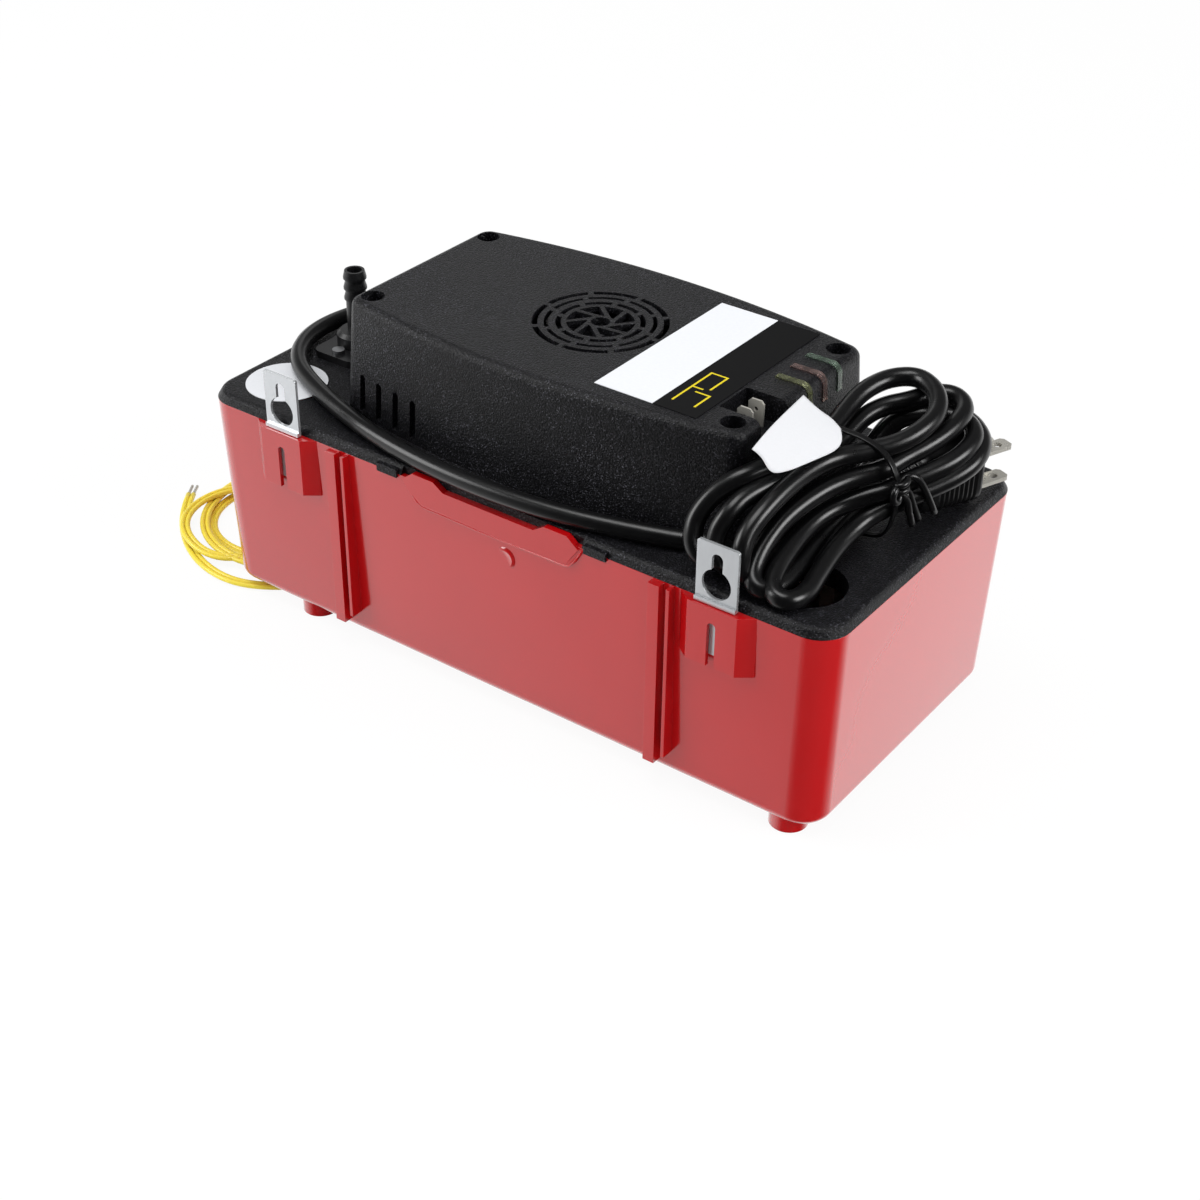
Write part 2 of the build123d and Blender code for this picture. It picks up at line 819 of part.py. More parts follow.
def make_stator():
    """C-frame lamination stack with rotor bore, winding window and rivet holes."""
    right = limb_left + limb_width
    outline = Polygon(
        (stack_left, -stack_half_width + 6), (stack_left + 6, -stack_half_width),
        (right, -stack_half_width), (right, stack_half_width),
        (stack_left + 6, stack_half_width), (stack_left, stack_half_width - 6), align=None)
    window = Pos((window_left + limb_left) / 2, 0) * Rectangle(
        limb_left - window_left, 2 * window_half_width)
    plate = outline - window - Circle(rotor_radius + air_gap)
    for y in (-motor_screw_y, motor_screw_y):
        plate -= Pos(0, y) * Circle(motor_screw_radius + motor_screw_clearance)
    for side in (-1, 1):
        spot = Rot(0, 0, 135 - 90 * side) * Pos(shading_ring_x, 0)
        plate -= spot * Rectangle(shading_ring_length + 0.1, shading_ring_size + 0.1)
    return upright(plate, stack_low_z, stack_high_z)


def make_winding():
    """Bobbin round the stator limb and the copper wound on it."""
    x0, x1 = limb_left - seat_gap / 3, limb_left + limb_width + seat_gap / 3
    z0, z1 = stack_low_z - seat_gap / 3, stack_high_z + seat_gap / 3
    y = window_half_width - 0.4
    core = block((x0, x1), (-y - 1, y + 1), (z0, z1))
    wall = bobbin_wall
    tube_body = block((x0 - wall, x1 + wall), (-y, y), (z0 - wall, z1 + wall))
    reach = wall + winding_depth
    bobbin = tube_body
    for side in (-1, 1):
        y_pair = sorted((side * winding_half_length, side * y))
        bobbin += block((x0 - reach, x1 + reach), y_pair, (z0 - reach, z1 + reach))
    bobbin -= core
    winding = block((x0 - reach + 0.6, x1 + reach - 0.6),
                    (-winding_half_length, winding_half_length),
                    (z0 - reach + 0.6, z1 + reach - 0.6))
    winding = fillet(winding.edges().filter_by(Axis.Y), 3.0)
    winding -= tube_body
    return bobbin, winding


def make_motor_screws():
    """Two long screws through both brackets and the stack into the deck."""
    screws = []
    top = bracket_high_z + bracket_thickness
    for y in (-motor_screw_y, motor_screw_y):
        screws.append(cylinder(motor_screw_radius, under_deck_z - 3.0, top, 0, y)
                      + cylinder(motor_screw_head_radius, top, top + motor_screw_head_height, 0, y))
    return Compound(screws)


def make_shading_rings():
    """Two copper shading rings set in slots of the stator."""
    rings = []
    for side in (-1, 1):
        spot = Rot(0, 0, 135 - 90 * side) * Pos(shading_ring_x, 0)
        ring = spot * Rectangle(shading_ring_length, shading_ring_size)
        rings.append(upright(ring, stack_low_z, stack_high_z + 0.8))
    return Compound(rings)


def make_rotor():
    """Squirrel-cage rotor with end rings and skewless bars."""
    rotor = cylinder(rotor_radius, stack_low_z, stack_high_z)
    rotor += cylinder(rotor_radius - 1.5, stack_low_z - 1.5, stack_high_z + 1.5)
    return rotor - cylinder(shaft_radius, stack_low_z - 3, stack_high_z + 3)


def make_shaft():
    """Motor and pump shaft from the fan to the impeller."""
    return cylinder(shaft_radius, impeller_low_z, fan_low_z + fan_height)


def make_fan():
    """Cooling fan: hub, disc and radial blades."""
    fan = cylinder(fan_radius, fan_low_z, fan_low_z + fan_disc)
    fan += cylinder(fan_hub_radius, fan_low_z, fan_low_z + fan_height)
    middle = (fan_hub_radius + fan_radius) / 2
    length = fan_radius - fan_hub_radius
    for index in range(fan_blades):
        blade = Pos(middle - 0.5, 0, fan_low_z + fan_height / 2) * Box(length, fan_disc, fan_height)
        fan += Rot(0, 0, 360 / fan_blades * index) * blade
    return fan - cylinder(shaft_radius, fan_low_z - 1, fan_low_z + fan_height + 1)


fan_low_z = bracket_high_z + bracket_thickness + fan_rise


# ---------------------------------------------------------------- pump


base_low_z = tank_floor_z + seat_gap + 3.2
base_high_z = base_low_z + base_plate
volute_top_z = base_high_z + volute_height
impeller_low_z = base_high_z + 2.0


def make_column():
    """Pump column with its flange and the volute housing moulded on."""
    column = cylinder(column_radius, volute_top_z - 1, under_deck_z)
    column += cylinder(column_flange_radius, under_deck_z - column_flange, under_deck_z)
    column += cylinder(volute_radius, base_high_z, volute_top_z)
    nozzle_z = base_high_z + nozzle_rise
    nozzle = Pos(nozzle_end_x / 2 - 7, nozzle_y, nozzle_z) * Rot(0, 90, 0)
    run = abs(nozzle_end_x) - 14
    column += nozzle * Cylinder(nozzle_radius, run)
    column -= cylinder(column_radius - column_wall, volute_top_z, under_deck_z + 1)
    column -= cylinder(volute_cavity, base_high_z - 1, volute_top_z - volute_roof,
                       -volute_offset, 0)
    column -= nozzle * Cylinder(nozzle_bore, run + 2)
    column -= cylinder(shaft_radius + 1.5, base_high_z, under_deck_z)
    for turn in (0, 90):
        column -= Pos(0, 0, under_deck_z - 14) * Rot(0, 0, 45 + turn) * Box(
            3 * column_radius, 8.0, 12.0)
    for x, y in column_screw_spots + [(0, -motor_screw_y), (0, motor_screw_y)]:
        column -= cylinder(column_screw_radius + fit_gap, under_deck_z - 9, under_deck_z + 1, x, y)
    return column


def make_column_screws():
    """Three screws from the deck top into the column flange."""
    screws = []
    for x, y in column_screw_spots:
        screws.append(cylinder(column_screw_radius, under_deck_z - column_flange + 0.2, deck_z, x, y)
                      + cylinder(2.8, deck_z, deck_z + 1.4, x, y))
    return Compound(screws)


def make_pump_base():
    """Inlet plate under the impeller with its eye and short legs."""
    plate = cylinder(volute_radius, base_low_z, base_high_z)
    plate -= cylinder(base_eye_radius, base_low_z - 1, base_high_z + 1)
    for index in range(4):
        angle = radians(45 + 90 * index)
        plate += cylinder(base_leg_radius, tank_floor_z + seat_gap, base_low_z,
                          base_leg_circle * cos(angle), base_leg_circle * sin(angle))
    return plate


def make_impeller():
    """Open impeller: disc above swept-back blades, on a hub."""
    blade_high = impeller_low_z + impeller_blade
    impeller = cylinder(impeller_radius, blade_high, blade_high + impeller_disc)
    impeller += cylinder(impeller_hub_radius, impeller_low_z, blade_high + impeller_disc)
    middle = (impeller_radius + impeller_hub_radius) / 2
    for index in range(impeller_blades):
        blade = Pos(middle - 0.8, 2.0) * Rot(0, 0, -22) * Rectangle(
            impeller_radius - impeller_hub_radius, 1.6)
        impeller += upright(Rot(0, 0, 360 / impeller_blades * index) * blade,
                            impeller_low_z, blade_high)
    return impeller - cylinder(shaft_radius, impeller_low_z - 1, blade_high + 5)


def make_hose():
    """Clear hose from the volute nozzle up to the check valve."""
    nozzle_z = base_high_z + nozzle_rise
    start_x = nozzle_end_x + hose_overlap
    valve_low = deck_z - valve_body_depth
    route = [
        (start_x, nozzle_y, nozzle_z),
        (start_x - 46.0, nozzle_y, nozzle_z),
        (valve_x, valve_y, nozzle_z + 20.0),
        (valve_x, valve_y, valve_low - seat_gap),
    ]
    return tube("discharge_hose", route, hose_radius, nozzle_radius + hose_gap)


# ---------------------------------------------------------------- check valve


def make_check_valve():
    """Valve body with flange, its ball, the barbed outlet, seal ring and screws."""
    flange_top = deck_z + valve_flange_thickness
    body_low = deck_z - valve_body_depth
    nipple_low = body_low - valve_nipple_length
    chamber_low = deck_z - valve_chamber_depth
    cone = valve_chamber_radius - barb_bore
    body = revolved([
        (barb_bore, nipple_low), (nozzle_radius, nipple_low), (nozzle_radius, body_low),
        (valve_body_radius, body_low), (valve_body_radius, flange_top),
        (valve_chamber_radius, flange_top), (valve_chamber_radius, chamber_low),
        (barb_bore, chamber_low - cone),
    ], valve_x, valve_y)
    plate = Pos(valve_x, valve_y) * RectangleRounded(
        2 * valve_flange_half_x, 2 * valve_flange_half_y, 4.0)
    plate = upright(plate, deck_z, flange_top)
    plate -= cylinder(valve_body_radius, deck_z - 1, flange_top + 1, valve_x, valve_y)
    body += plate
    screws = []
    for side in (-1, 1):
        y = valve_y + side * valve_screw_y
        body -= cylinder(valve_screw_radius + fit_gap, deck_z - 1, flange_top + 1, valve_x, y)
        screws.append(cylinder(valve_screw_radius, under_deck_z - 6, flange_top, valve_x, y)
                      + cylinder(2.5, flange_top, flange_top + 1.6, valve_x, y))

    # The ball rests in the cone just under the chamber.
    contact = ball_radius * cos(radians(45))
    ball_z = chamber_low - cone + (contact - barb_bore) + contact + ball_seat_gap * 1.5
    ball = Pos(valve_x, valve_y, ball_z) * Sphere(ball_radius)

    collar_top = flange_top + barb_collar_height
    top = deck_z + barb_top
    stop_z = ball_z + ball_radius + ball_lift + seat_gap
    outline = [
        (barb_bore, stop_z), (valve_chamber_radius - fit_gap, stop_z),
        (valve_chamber_radius - fit_gap, flange_top), (barb_collar_radius, flange_top),
        (barb_collar_radius, collar_top - 1.5), (barb_collar_radius - 1.5, collar_top),
        (barb_root_radius, collar_top),
    ]
    for index in (2, 1, 0):
        ridge = top - 3.0 - barb_ridge_pitch * index
        outline += [(barb_root_radius, ridge - 0.6), (barb_ridge_radius, ridge - 0.4),
                    (barb_ridge_radius, ridge + 0.4),
                    (barb_root_radius, ridge + 3.0 if index == 0 else ridge + 2.6)]
    outline += [(barb_bore, top)]
    barb = revolved(outline, valve_x, valve_y)
    groove = o_ring_radius - o_ring_section, o_ring_radius + o_ring_section
    barb -= (cylinder(groove[1], flange_top - 1, flange_top + 2 * o_ring_section, valve_x, valve_y)
             - cylinder(groove[0], flange_top - 1, flange_top + 2 * o_ring_section,
                        valve_x, valve_y))
    for turn in (0, 60, 120):
        barb -= Pos(valve_x, valve_y, stop_z) * Rot(0, 0, turn) * Box(20, 2.0, 2.4)
    ring = Pos(valve_x, valve_y, flange_top + o_ring_section) * Torus(o_ring_radius, o_ring_section)
    return body, ball, barb, ring, Compound(screws)


# ---------------------------------------------------------------- float gear


def make_float_gear():
    """Float, its arm with the switch finger, the pivot pin and the switches."""
    plunger_low = deck_z + switch_lift - plunger_stand_out
    finger_top = plunger_low - finger_below_plunger
    hub_half = pivot_ear_half_gap - pivot_side_gap
    arm = along_y(pivot_hub_radius, -hub_half, hub_half, pivot_x, pivot_z)
    finger_x = pivot_x + finger_reach
    arm += block((pivot_x, finger_x + finger_width / 2), (-finger_half_span, finger_half_span),
                 (pivot_z - 2.2, pivot_z + 2.2))
    arm += block((finger_x - finger_width / 2, finger_x + finger_width / 2),
                 (-finger_half_span, finger_half_span), (pivot_z - 2.2, finger_top))
    arm_z = pivot_z - float_arm_drop
    arm_y = (-float_arm_width / 2, float_arm_width / 2)
    arm += block((pivot_x - 3, pivot_x + 3), arm_y, (arm_z, pivot_z))
    arm += block((pivot_x - 3, float_centre_x + 3), arm_y,
                 (arm_z - float_arm_depth / 2, arm_z + float_arm_depth / 2))
    float_high = float_bottom + float_height
    arm += block((float_centre_x - 3, float_centre_x + 3), arm_y, (float_high - float_post, arm_z))
    arm -= along_y(pivot_pin_radius + bearing_gap, -hub_half - 1, hub_half + 1, pivot_x, pivot_z)
    body = Pos(float_centre_x, 0, float_bottom + float_height / 2) * Box(
        float_length, float_width, float_height)
    body = fillet(body.edges().filter_by(Axis.Z), 8.0)
    body -= block((float_centre_x - 3, float_centre_x + 3),
                  (-float_arm_width / 2, float_arm_width / 2),
                  (float_high - float_post, float_high + 1))
    ear_end = pivot_ear_half_gap + pivot_ear_wall
    pin = along_y(pivot_pin_radius, -ear_end - 1, ear_end + 1, pivot_x, pivot_z)

    low = deck_z + switch_lift
    half = switch_wall / 2
    switches, plungers = [], []
    for side in (1, -1):
        y_pair = sorted((side * half, side * (half + switch_width)))
        middle_y = side * (half + switch_width / 2)
        body_box = block(switch_x, y_pair, (low, low + switch_height))
        depth = plunger_depth + plunger_travel
        body_box -= cylinder(plunger_radius + plunger_gap, low - 1, low + depth, finger_x, middle_y)
        for x in switch_pin_xs:
            body_box -= along_y(switch_pin_radius + fit_gap, y_pair[0] - 1, y_pair[1] + 1,
                                x, switch_pin_z)
        for x in (switch_x[0] + 4, (switch_x[0] + switch_x[1]) / 2, switch_x[1] - 3):
            body_box += block((x - 1.2, x + 1.2), (middle_y - 0.3, middle_y + 0.3),
                              (low + switch_height, low + switch_height + 4))
        switches.append(body_box)
        plungers.append(cylinder(plunger_radius, plunger_low, low + plunger_depth,
                                 finger_x, middle_y))
    reach = half + switch_width + 0.6
    pins = [along_y(switch_pin_radius, -reach, reach, x, switch_pin_z) for x in switch_pin_xs]
    return arm, body, pin, switches, plungers, Compound(pins)


# ---------------------------------------------------------------- hangers


def make_hanger(x):
    """Zinc-plated hanger plate with a keyhole, its leg down in the tank's pocket."""
    low = rim_z + seat_gap
    top = rim_z + hanger_height
    plate = Pos(x, 0, (low + top) / 2) * Box(hanger_width, hanger_thickness, top - low)
    plate = fillet(plate.edges().filter_by(Axis.Y).group_by(Axis.Z)[-1], hanger_corner)
    half_leg = hanger_leg_width / 2
    plate += block((x - half_leg, x + half_leg), (-hanger_thickness / 2, hanger_thickness / 2),
                   (rim_z - hanger_leg_drop, low))
    plate += block((x - hanger_width / 2, x + hanger_width / 2),
                   (-hanger_thickness / 2 - hanger_lip, -hanger_thickness / 2),
                   (low, low + hanger_lip_height))
    hole_z = top - hanger_hole_below_top
    slot_z = top - hanger_slot_below_top - hanger_slot_width / 2
    plate -= along_y(hanger_hole_radius, -2, 2, x, hole_z)
    plate -= along_y(hanger_slot_width / 2, -2, 2, x, slot_z)
    plate -= block((x - hanger_slot_width / 2, x + hanger_slot_width / 2), (-2, 2), (hole_z, slot_z))
    cavity_front = -(half_width + pocket_depth) + pocket_front_wall
    return Pos(0, cavity_front + pocket_cavity_depth / 2, 0) * plate


# ---------------------------------------------------------------- cords


def make_power_cord():
    """Strain relief, cord run to the hank, the hank, its tie and tag, and the plug."""
    relief = Pos(relief_x - 4, relief_y, relief_z) * Rot(0, -90, 0) * (
        Pos(0, 0, -4) * Cylinder(relief_root_radius, 8)
        + Pos(0, 0, relief_length / 2) * Cone(relief_root_radius, cord_radius + 0.6, relief_length)
    )
    start_x = relief_x - 4 - relief_length
    z = deck_z + cord_radius + seat_gap
    route = [
        (start_x, relief_y, relief_z),
        (start_x - 11, relief_y, relief_z),
        (-134, 16, z + 0.8),
        (-139, -2, z),
        (-135, -20, z),
        (-123.5, -34.5, z),
        (-105, -44.5, z),
        (-82, -53.5, z),
        (-56, -60.8, z),
        (-26, -65.2, z + 0.1),
        (4, -65.6, z + 0.1),
        (32, -62, z),
        (55, -56.5, z + 1.5),
        (73, -55.5, z + 6),
        (82, -55.5, z + 13),
        (84.5, -53, z + 22),
        (90, -46.5, z + 28),
        (97, -36, z + 29.5),
    ]
    run = tube("cord_run", route, cord_radius)
    room = tube("", route, cord_radius + 0.1)
    hank = make_hank() - room
    return relief, run, hank


def slab_y(side, x_span):
    """Prism along X of a side outline given as depth and height above the rim."""
    face = make_face(Polyline(*[(0, y, rim_z + height) for y, height in side], close=True))
    return Pos(x_span[0], 0, 0) * extrude(face, x_span[1] - x_span[0], dir=(1, 0, 0))


def plug_place():
    """Where the middle of the plug's face is and how the plug is turned on the deck."""
    plug_z = deck_z + 0.2 + plug_half_height
    return Pos(plug_x, plug_y, plug_z) * Rot(0, 0, -plug_turn)


def make_hank():
    """Outer shape of the loosely coiled cord, clear of the cover, plug and tie."""
    low = deck_z - rim_z + hank_bottom
    front_high = [(-65, low), (-65, 17), (-58, 28), (-47, 35), (-27, 38.4), (-2, 40.4), (-2, low)]
    front_low = [(-65.5, low), (-65.5, 11), (-50, 13), (-33, 17), (-18, 23), (-2, 29), (-2, low)]
    left_arms = [(-3, low), (-3, 40.4), (6, 42), (22, 47), (36, 47), (40, 40), (40, low)]
    hank = slab_y(front_high, (hank_left, 108.5))
    hank += slab_y(front_low, (100.0, 127.0))
    hank += block((94.8, 127.8), (-12.0, 3.0), (rim_z + low, rim_z + 40.4))
    hank += slab_y(left_arms, (94.8, 106.0))
    over_low = rim_z + 28.6
    top = Polygon((100, 1), (122, -4), (129, -4), (143, 13), (146, 24), (145.6, 36), (136, 45),
                  (124, 49), (110, 45), (100, 38), align=None)
    hank += upright(top, over_low, rim_z + 49.4)
    side = Polygon((120, -4), (129, -4), (143, 13), (146, 24), (145.6, 30), (139, 30),
                   (130, 8), (120, 2), align=None)
    hank += upright(side, rim_z + 15.0, over_low + 1.0)
    slope = make_face(Polyline((120, 0, rim_z + 49.5), (147, 0, rim_z + 34), (147, 0, rim_z + 60),
                               (120, 0, rim_z + 60), close=True))
    hank -= Pos(0, -20, 0) * extrude(slope, 80, dir=(0, 1, 0))
    lower = make_face(Polyline((95, 0, rim_z + 40.4), (100, 0, rim_z + 46), (108, 0, rim_z + 49.6),
                               (94, 0, rim_z + 49.6), close=True))
    hank -= Pos(0, -20, 0) * extrude(lower, 80, dir=(0, 1, 0))
    reach = plug_body_length + plug_tail_length + blade_length + 8
    width = plug_half_width + 0.3
    room = Pos(0, 10 - reach / 2 + blade_length - 10, -1) * Box(
        2 * width, reach, 2 * plug_half_height + 2.4)
    hank -= plug_place() * room
    gap = seat_gap
    x_pair = (94.8, 127.8)
    hank -= block((x_pair[0] - 3, x_pair[1] + 6), (tie_y - tie_width, tie_y + tie_width),
                  (rim_z, rim_z + low + 0.1))
    for x_span, z_span in (
        ((x_pair[1] + gap, x_pair[1] + 6), (rim_z, rim_z + 60)),
        ((x_pair[0] - 5, x_pair[0] - gap), (rim_z, rim_z + 60)),
        ((x_pair[0] - 5, x_pair[1] + 6), (rim_z + 40.4, rim_z + 60)),
    ):
        hank -= block(x_span, (tie_y - tie_width, tie_y + tie_width), z_span)
    return hank


def make_tie():
    """Wire tie round the waist of the coiled cord, with a twisted knot and two tails."""
    low, high = deck_z + 0.15, rim_z + 40.4 + seat_gap
    x_low, x_high = 94.8 - seat_gap, 127.8 + seat_gap
    y_pair = (tie_y - tie_width / 2, tie_y + tie_width / 2)
    grow = tie_thickness
    tie = block((x_low - grow, x_high + grow), y_pair, (low, high + grow))
    tie -= block((x_low, x_high), (tie_y - 2, tie_y + 2), (low + grow, high))
    knot_z = rim_z + 24.0
    tie += block((x_high, x_high + 5.0), (tie_y - 1.5, tie_y + 1.2), (knot_z - 2.5, knot_z + 2.5))
    tie += block((x_high + 2.0, x_high + 4.0), y_pair, (knot_z - 14.0, knot_z))
    return tie


def make_tag():
    """Paper tag that lies over the coiled cord beside the cover's corner."""
    corner = Vector(88.9, -4.6, rim_z + 49.3)
    right = Vector(112, -12, rim_z + 41.4)
    front = Vector(97, -35, rim_z + 41.8)
    sheet = Plane(origin=corner, x_dir=right - corner, z_dir=(right - corner).cross(front - corner))
    outline = [(88.9, -4.6), (98.7, -6), (107, -7), (112, -12), (101, -40), (92.4, -34)]
    local = []
    for x, y in outline:
        drop = sheet.z_dir.X * (x - corner.X) + sheet.z_dir.Y * (y - corner.Y)
        local.append(sheet.to_local_coords(Vector(x, y, corner.Z - drop / sheet.z_dir.Z)))
    face = make_face(Polyline(*[(v.X, v.Y) for v in local], close=True))
    return extrude(sheet * face, tag_thickness, dir=(0, 0, 1))


def make_plug():
    """Moulded plug lying on the deck, with two blades and a round ground pin."""
    place = plug_place()
    body = Pos(0, -plug_body_length / 2, 0) * Box(
        2 * plug_half_width, plug_body_length, 2 * plug_half_height)
    body = fillet(body.edges().filter_by(Axis.Y), plug_round)
    tail = Rot(90, 0, 0) * Pos(0, 0, plug_body_length + plug_tail_length / 2) * Cone(
        plug_half_width - 1.5, plug_tail_radius, plug_tail_length)
    body += tail
    blades = []
    for side in (-1, 1):
        z = side * blade_spacing / 2
        middle = blade_length / 2 - blade_recess
        blade = Pos(blade_offset, middle, z) * Box(blade_width, blade_length, blade_thickness)
        body -= blade
        blade = chamfer(blade.edges().filter_by(Axis.Z).group_by(Axis.Y)[-1], 1.2)
        hole_y = blade_length - blade_recess - blade_hole_from_tip
        blade -= Pos(blade_offset, hole_y, z) * Cylinder(blade_hole_radius, 6)
        blades.append(place * blade)
    middle = ground_length / 2 - blade_recess
    pin = Pos(blade_offset - ground_offset, middle, 0) * Rot(-90, 0, 0) * Cylinder(
        ground_radius, ground_length)
    body -= pin
    return place * body, Compound(blades), place * pin


def make_leads():
    """Grommet, twin lead down the back of the tank, its coil on the floor and free end."""
    wall_y = cover_half_middle + cover_draft - 3.0
    grommet = along_y(lead_grommet_radius, wall_y - 3, wall_y + lead_exit_reach, lead_x, lead_z)
    grommet += along_y(lead_grommet_radius + 1.2, wall_y + 1.6, wall_y + 2.8, lead_x, lead_z)
    z = lead_radius + 0.15
    start = (lead_x, wall_y + lead_exit_reach, lead_z)
    back_y = half_width + 6.0
    route = [
        start,
        (lead_x, half_width - 1, lead_z),
        (lead_x - 3, back_y + 3, deck_z - 8),
        (lead_x - 6, back_y + 1, 62),
        (lead_x - 12, back_y + 2, 30),
        (lead_x - 24, back_y + 6, 5.5),
        (lead_x - 50, back_y + 10, z),
        (lead_x - 80, back_y + 4, z),
        (lead_x - 108, back_y - 12, z),
        (lead_x - 130, back_y - 34, z),
        (lead_x - 146, back_y - 58, z),
    ]
    run = tube("lead_run", route, lead_radius)
    tail_route = [
        (-113.5, -24, z),
        (-112.5, -42, z),
        (-121, -57, z),
        (-138, -66.3, z),
        (-158, -65, z),
        (-178, -55.5, z),
        (-196, -39.5, z),
        (-203.5, -27.5, z),
    ]
    tail = tube("lead_tail", tail_route, lead_radius)
    coil = cylinder(coil_outer, 0.15, 0.15 + coil_height, coil_x, coil_y)
    coil -= cylinder(coil_inner, -1, coil_height + 1, coil_x, coil_y)
    coil -= tube("", route[-5:], lead_radius + 0.1)
    coil -= tube("", tail_route, lead_radius + 0.1)
    last = Vector(*tail_route[-1])
    way = (last - Vector(*tail_route[-2])).normalized()
    side = Vector(-way.Y, way.X, 0) * (lead_radius / 2)
    tips = []
    for sign in (-1, 1):
        start_plane = Plane(origin=last + side * sign, z_dir=way)
        tips.append(extrude(start_plane * Circle(tip_radius), tip_length))
    return grommet, run, coil, tail, Compound(tips)


# ---------------------------------------------------------------- assembly


def make_parts():
    """Every node of the pump by name, drawn about the middle of the tank."""
    parts = {"tank": make_tank(), "deck": make_deck(), "motor_cover": make_cover()}
    parts["cover_screws"] = make_cover_screws()
    names = ("alarm_light_pipe", "run_light_pipe", "power_light_pipe")
    parts.update(zip(names, make_light_pipes()))
    board, lamps, spades, board_screws = make_board()
    parts.update(circuit_board=board, status_lamps=lamps, spade_terminals=spades,
                 board_screws=board_screws)
    parts["inlet_sticker"] = cylinder(sticker_radius, deck_z, deck_z + sticker_thickness,
                                      -inlet_x - 2.5, -inlet_y)
    parts["cover_label"] = block((label_start_x, label_end_x), (-label_half_width, label_half_width),
                                 (cover_top_z, cover_top_z + label_thickness))
    parts["stator_laminations"] = make_stator()
    bobbin, winding = make_winding()
    parts.update(coil_bobbin=bobbin, coil_winding=winding)
    parts["shading_rings"] = make_shading_rings()
    parts["lower_bearing_bracket"] = make_bracket(bracket_low_z, bracket_low_z + bracket_thickness)
    parts["upper_bearing_bracket"] = make_bracket(bracket_high_z, stack_high_z)
    parts["lower_bush"] = make_bush(bracket_low_z + 1.5)
    parts["upper_bush"] = make_bush(bracket_high_z + 0.5)
    parts["motor_screws"] = make_motor_screws()
    parts.update(rotor=make_rotor(), motor_shaft=make_shaft(), cooling_fan=make_fan())
    parts["shaft_slinger"] = (cylinder(slinger_radius, slinger_z, slinger_z + slinger_thickness)
                              - cylinder(shaft_radius, slinger_z - 1, slinger_z + 4))
    parts.update(pump_column=make_column(), column_screws=make_column_screws(),
                 pump_base=make_pump_base(), impeller=make_impeller(),
                 discharge_hose=make_hose())
    body, ball, barb, ring, valve_screws = make_check_valve()
    parts.update(check_valve_body=body, check_ball=ball, discharge_barb=barb,
                 valve_seal_ring=ring, valve_screws=valve_screws)
    arm, float_body, pin, switches, plungers, pins = make_float_gear()
    parts.update(float_arm=arm, tank_float=float_body, float_pivot_pin=pin,
                 run_switch=switches[0], alarm_switch=switches[1],
                 run_switch_plunger=plungers[0], alarm_switch_plunger=plungers[1],
                 switch_pins=pins)
    parts["left_hanger"] = make_hanger(-pocket_x)
    parts["right_hanger"] = make_hanger(pocket_x)
    relief, run, hank = make_power_cord()
    parts.update(strain_relief=relief, cord_run=run, cord_hank=hank, twist_tie=make_tie(),
                 cord_tag=make_tag())
    plug, blades, ground = make_plug()
    parts.update(plug_body=plug, plug_blades=blades, plug_ground_pin=ground)
    grommet, lead_run, coil, tail, tips = make_leads()
    parts.update(lead_grommet=grommet, lead_run=lead_run, lead_coil=coil, lead_tail=tail,
                 lead_tips=tips)
    return parts


for node, shape in make_parts().items():
    export_step(Pos(0, frame_shift, 0) * shape, f"parts/{node}.step")
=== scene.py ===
"""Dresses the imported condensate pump: finishes on its solids, cords, labels, lamps and a camera.

Places are written in millimetres about the middle of the tank, with heights from the tank's
rim, and go to Blender in metres through the function at().
"""

from __future__ import annotations

import json
import logging
import math
from dataclasses import dataclass, field
from enum import Enum

import bmesh
import bpy
from mathutils import Matrix, Vector

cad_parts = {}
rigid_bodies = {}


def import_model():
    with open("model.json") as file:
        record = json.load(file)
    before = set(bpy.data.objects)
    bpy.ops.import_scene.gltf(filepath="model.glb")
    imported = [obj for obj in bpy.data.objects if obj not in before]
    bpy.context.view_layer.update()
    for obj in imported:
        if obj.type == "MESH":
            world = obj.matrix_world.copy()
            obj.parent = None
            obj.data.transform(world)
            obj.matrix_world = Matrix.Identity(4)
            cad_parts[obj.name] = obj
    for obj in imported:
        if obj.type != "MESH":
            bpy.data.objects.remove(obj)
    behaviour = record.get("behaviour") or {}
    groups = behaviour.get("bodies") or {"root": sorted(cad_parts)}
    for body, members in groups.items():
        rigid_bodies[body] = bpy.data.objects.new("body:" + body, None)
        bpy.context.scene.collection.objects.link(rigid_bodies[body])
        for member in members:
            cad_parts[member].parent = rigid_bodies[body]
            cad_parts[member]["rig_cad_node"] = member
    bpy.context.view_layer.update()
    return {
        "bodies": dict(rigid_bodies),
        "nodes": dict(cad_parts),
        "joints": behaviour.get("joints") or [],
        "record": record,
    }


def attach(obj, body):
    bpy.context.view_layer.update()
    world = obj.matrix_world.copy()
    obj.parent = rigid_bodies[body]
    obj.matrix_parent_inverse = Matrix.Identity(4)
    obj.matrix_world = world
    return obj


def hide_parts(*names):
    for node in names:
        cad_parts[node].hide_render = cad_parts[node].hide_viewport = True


LOG = logging.getLogger("condensate_pump")
MM = 0.001
CENTRE_SHIFT = 1.5
RIM_Z = 87.5
WALL_AT_RIM = 67.0
WALL_DRAFT = 2.4 / 82.5
HOUSING = "housing"
WHOLE = (0.0, 1.0)
ROUGHNESS_SWING = 0.15
LEAST_LIFT = 0.02

Point = tuple[float, float, float]
Colour = tuple[float, float, float, float]
Span = tuple[float, float]
Route = tuple[Point, ...]
Tree = bpy.types.NodeTree
Node = bpy.types.Node
Socket = bpy.types.NodeSocket
Thing = bpy.types.Object


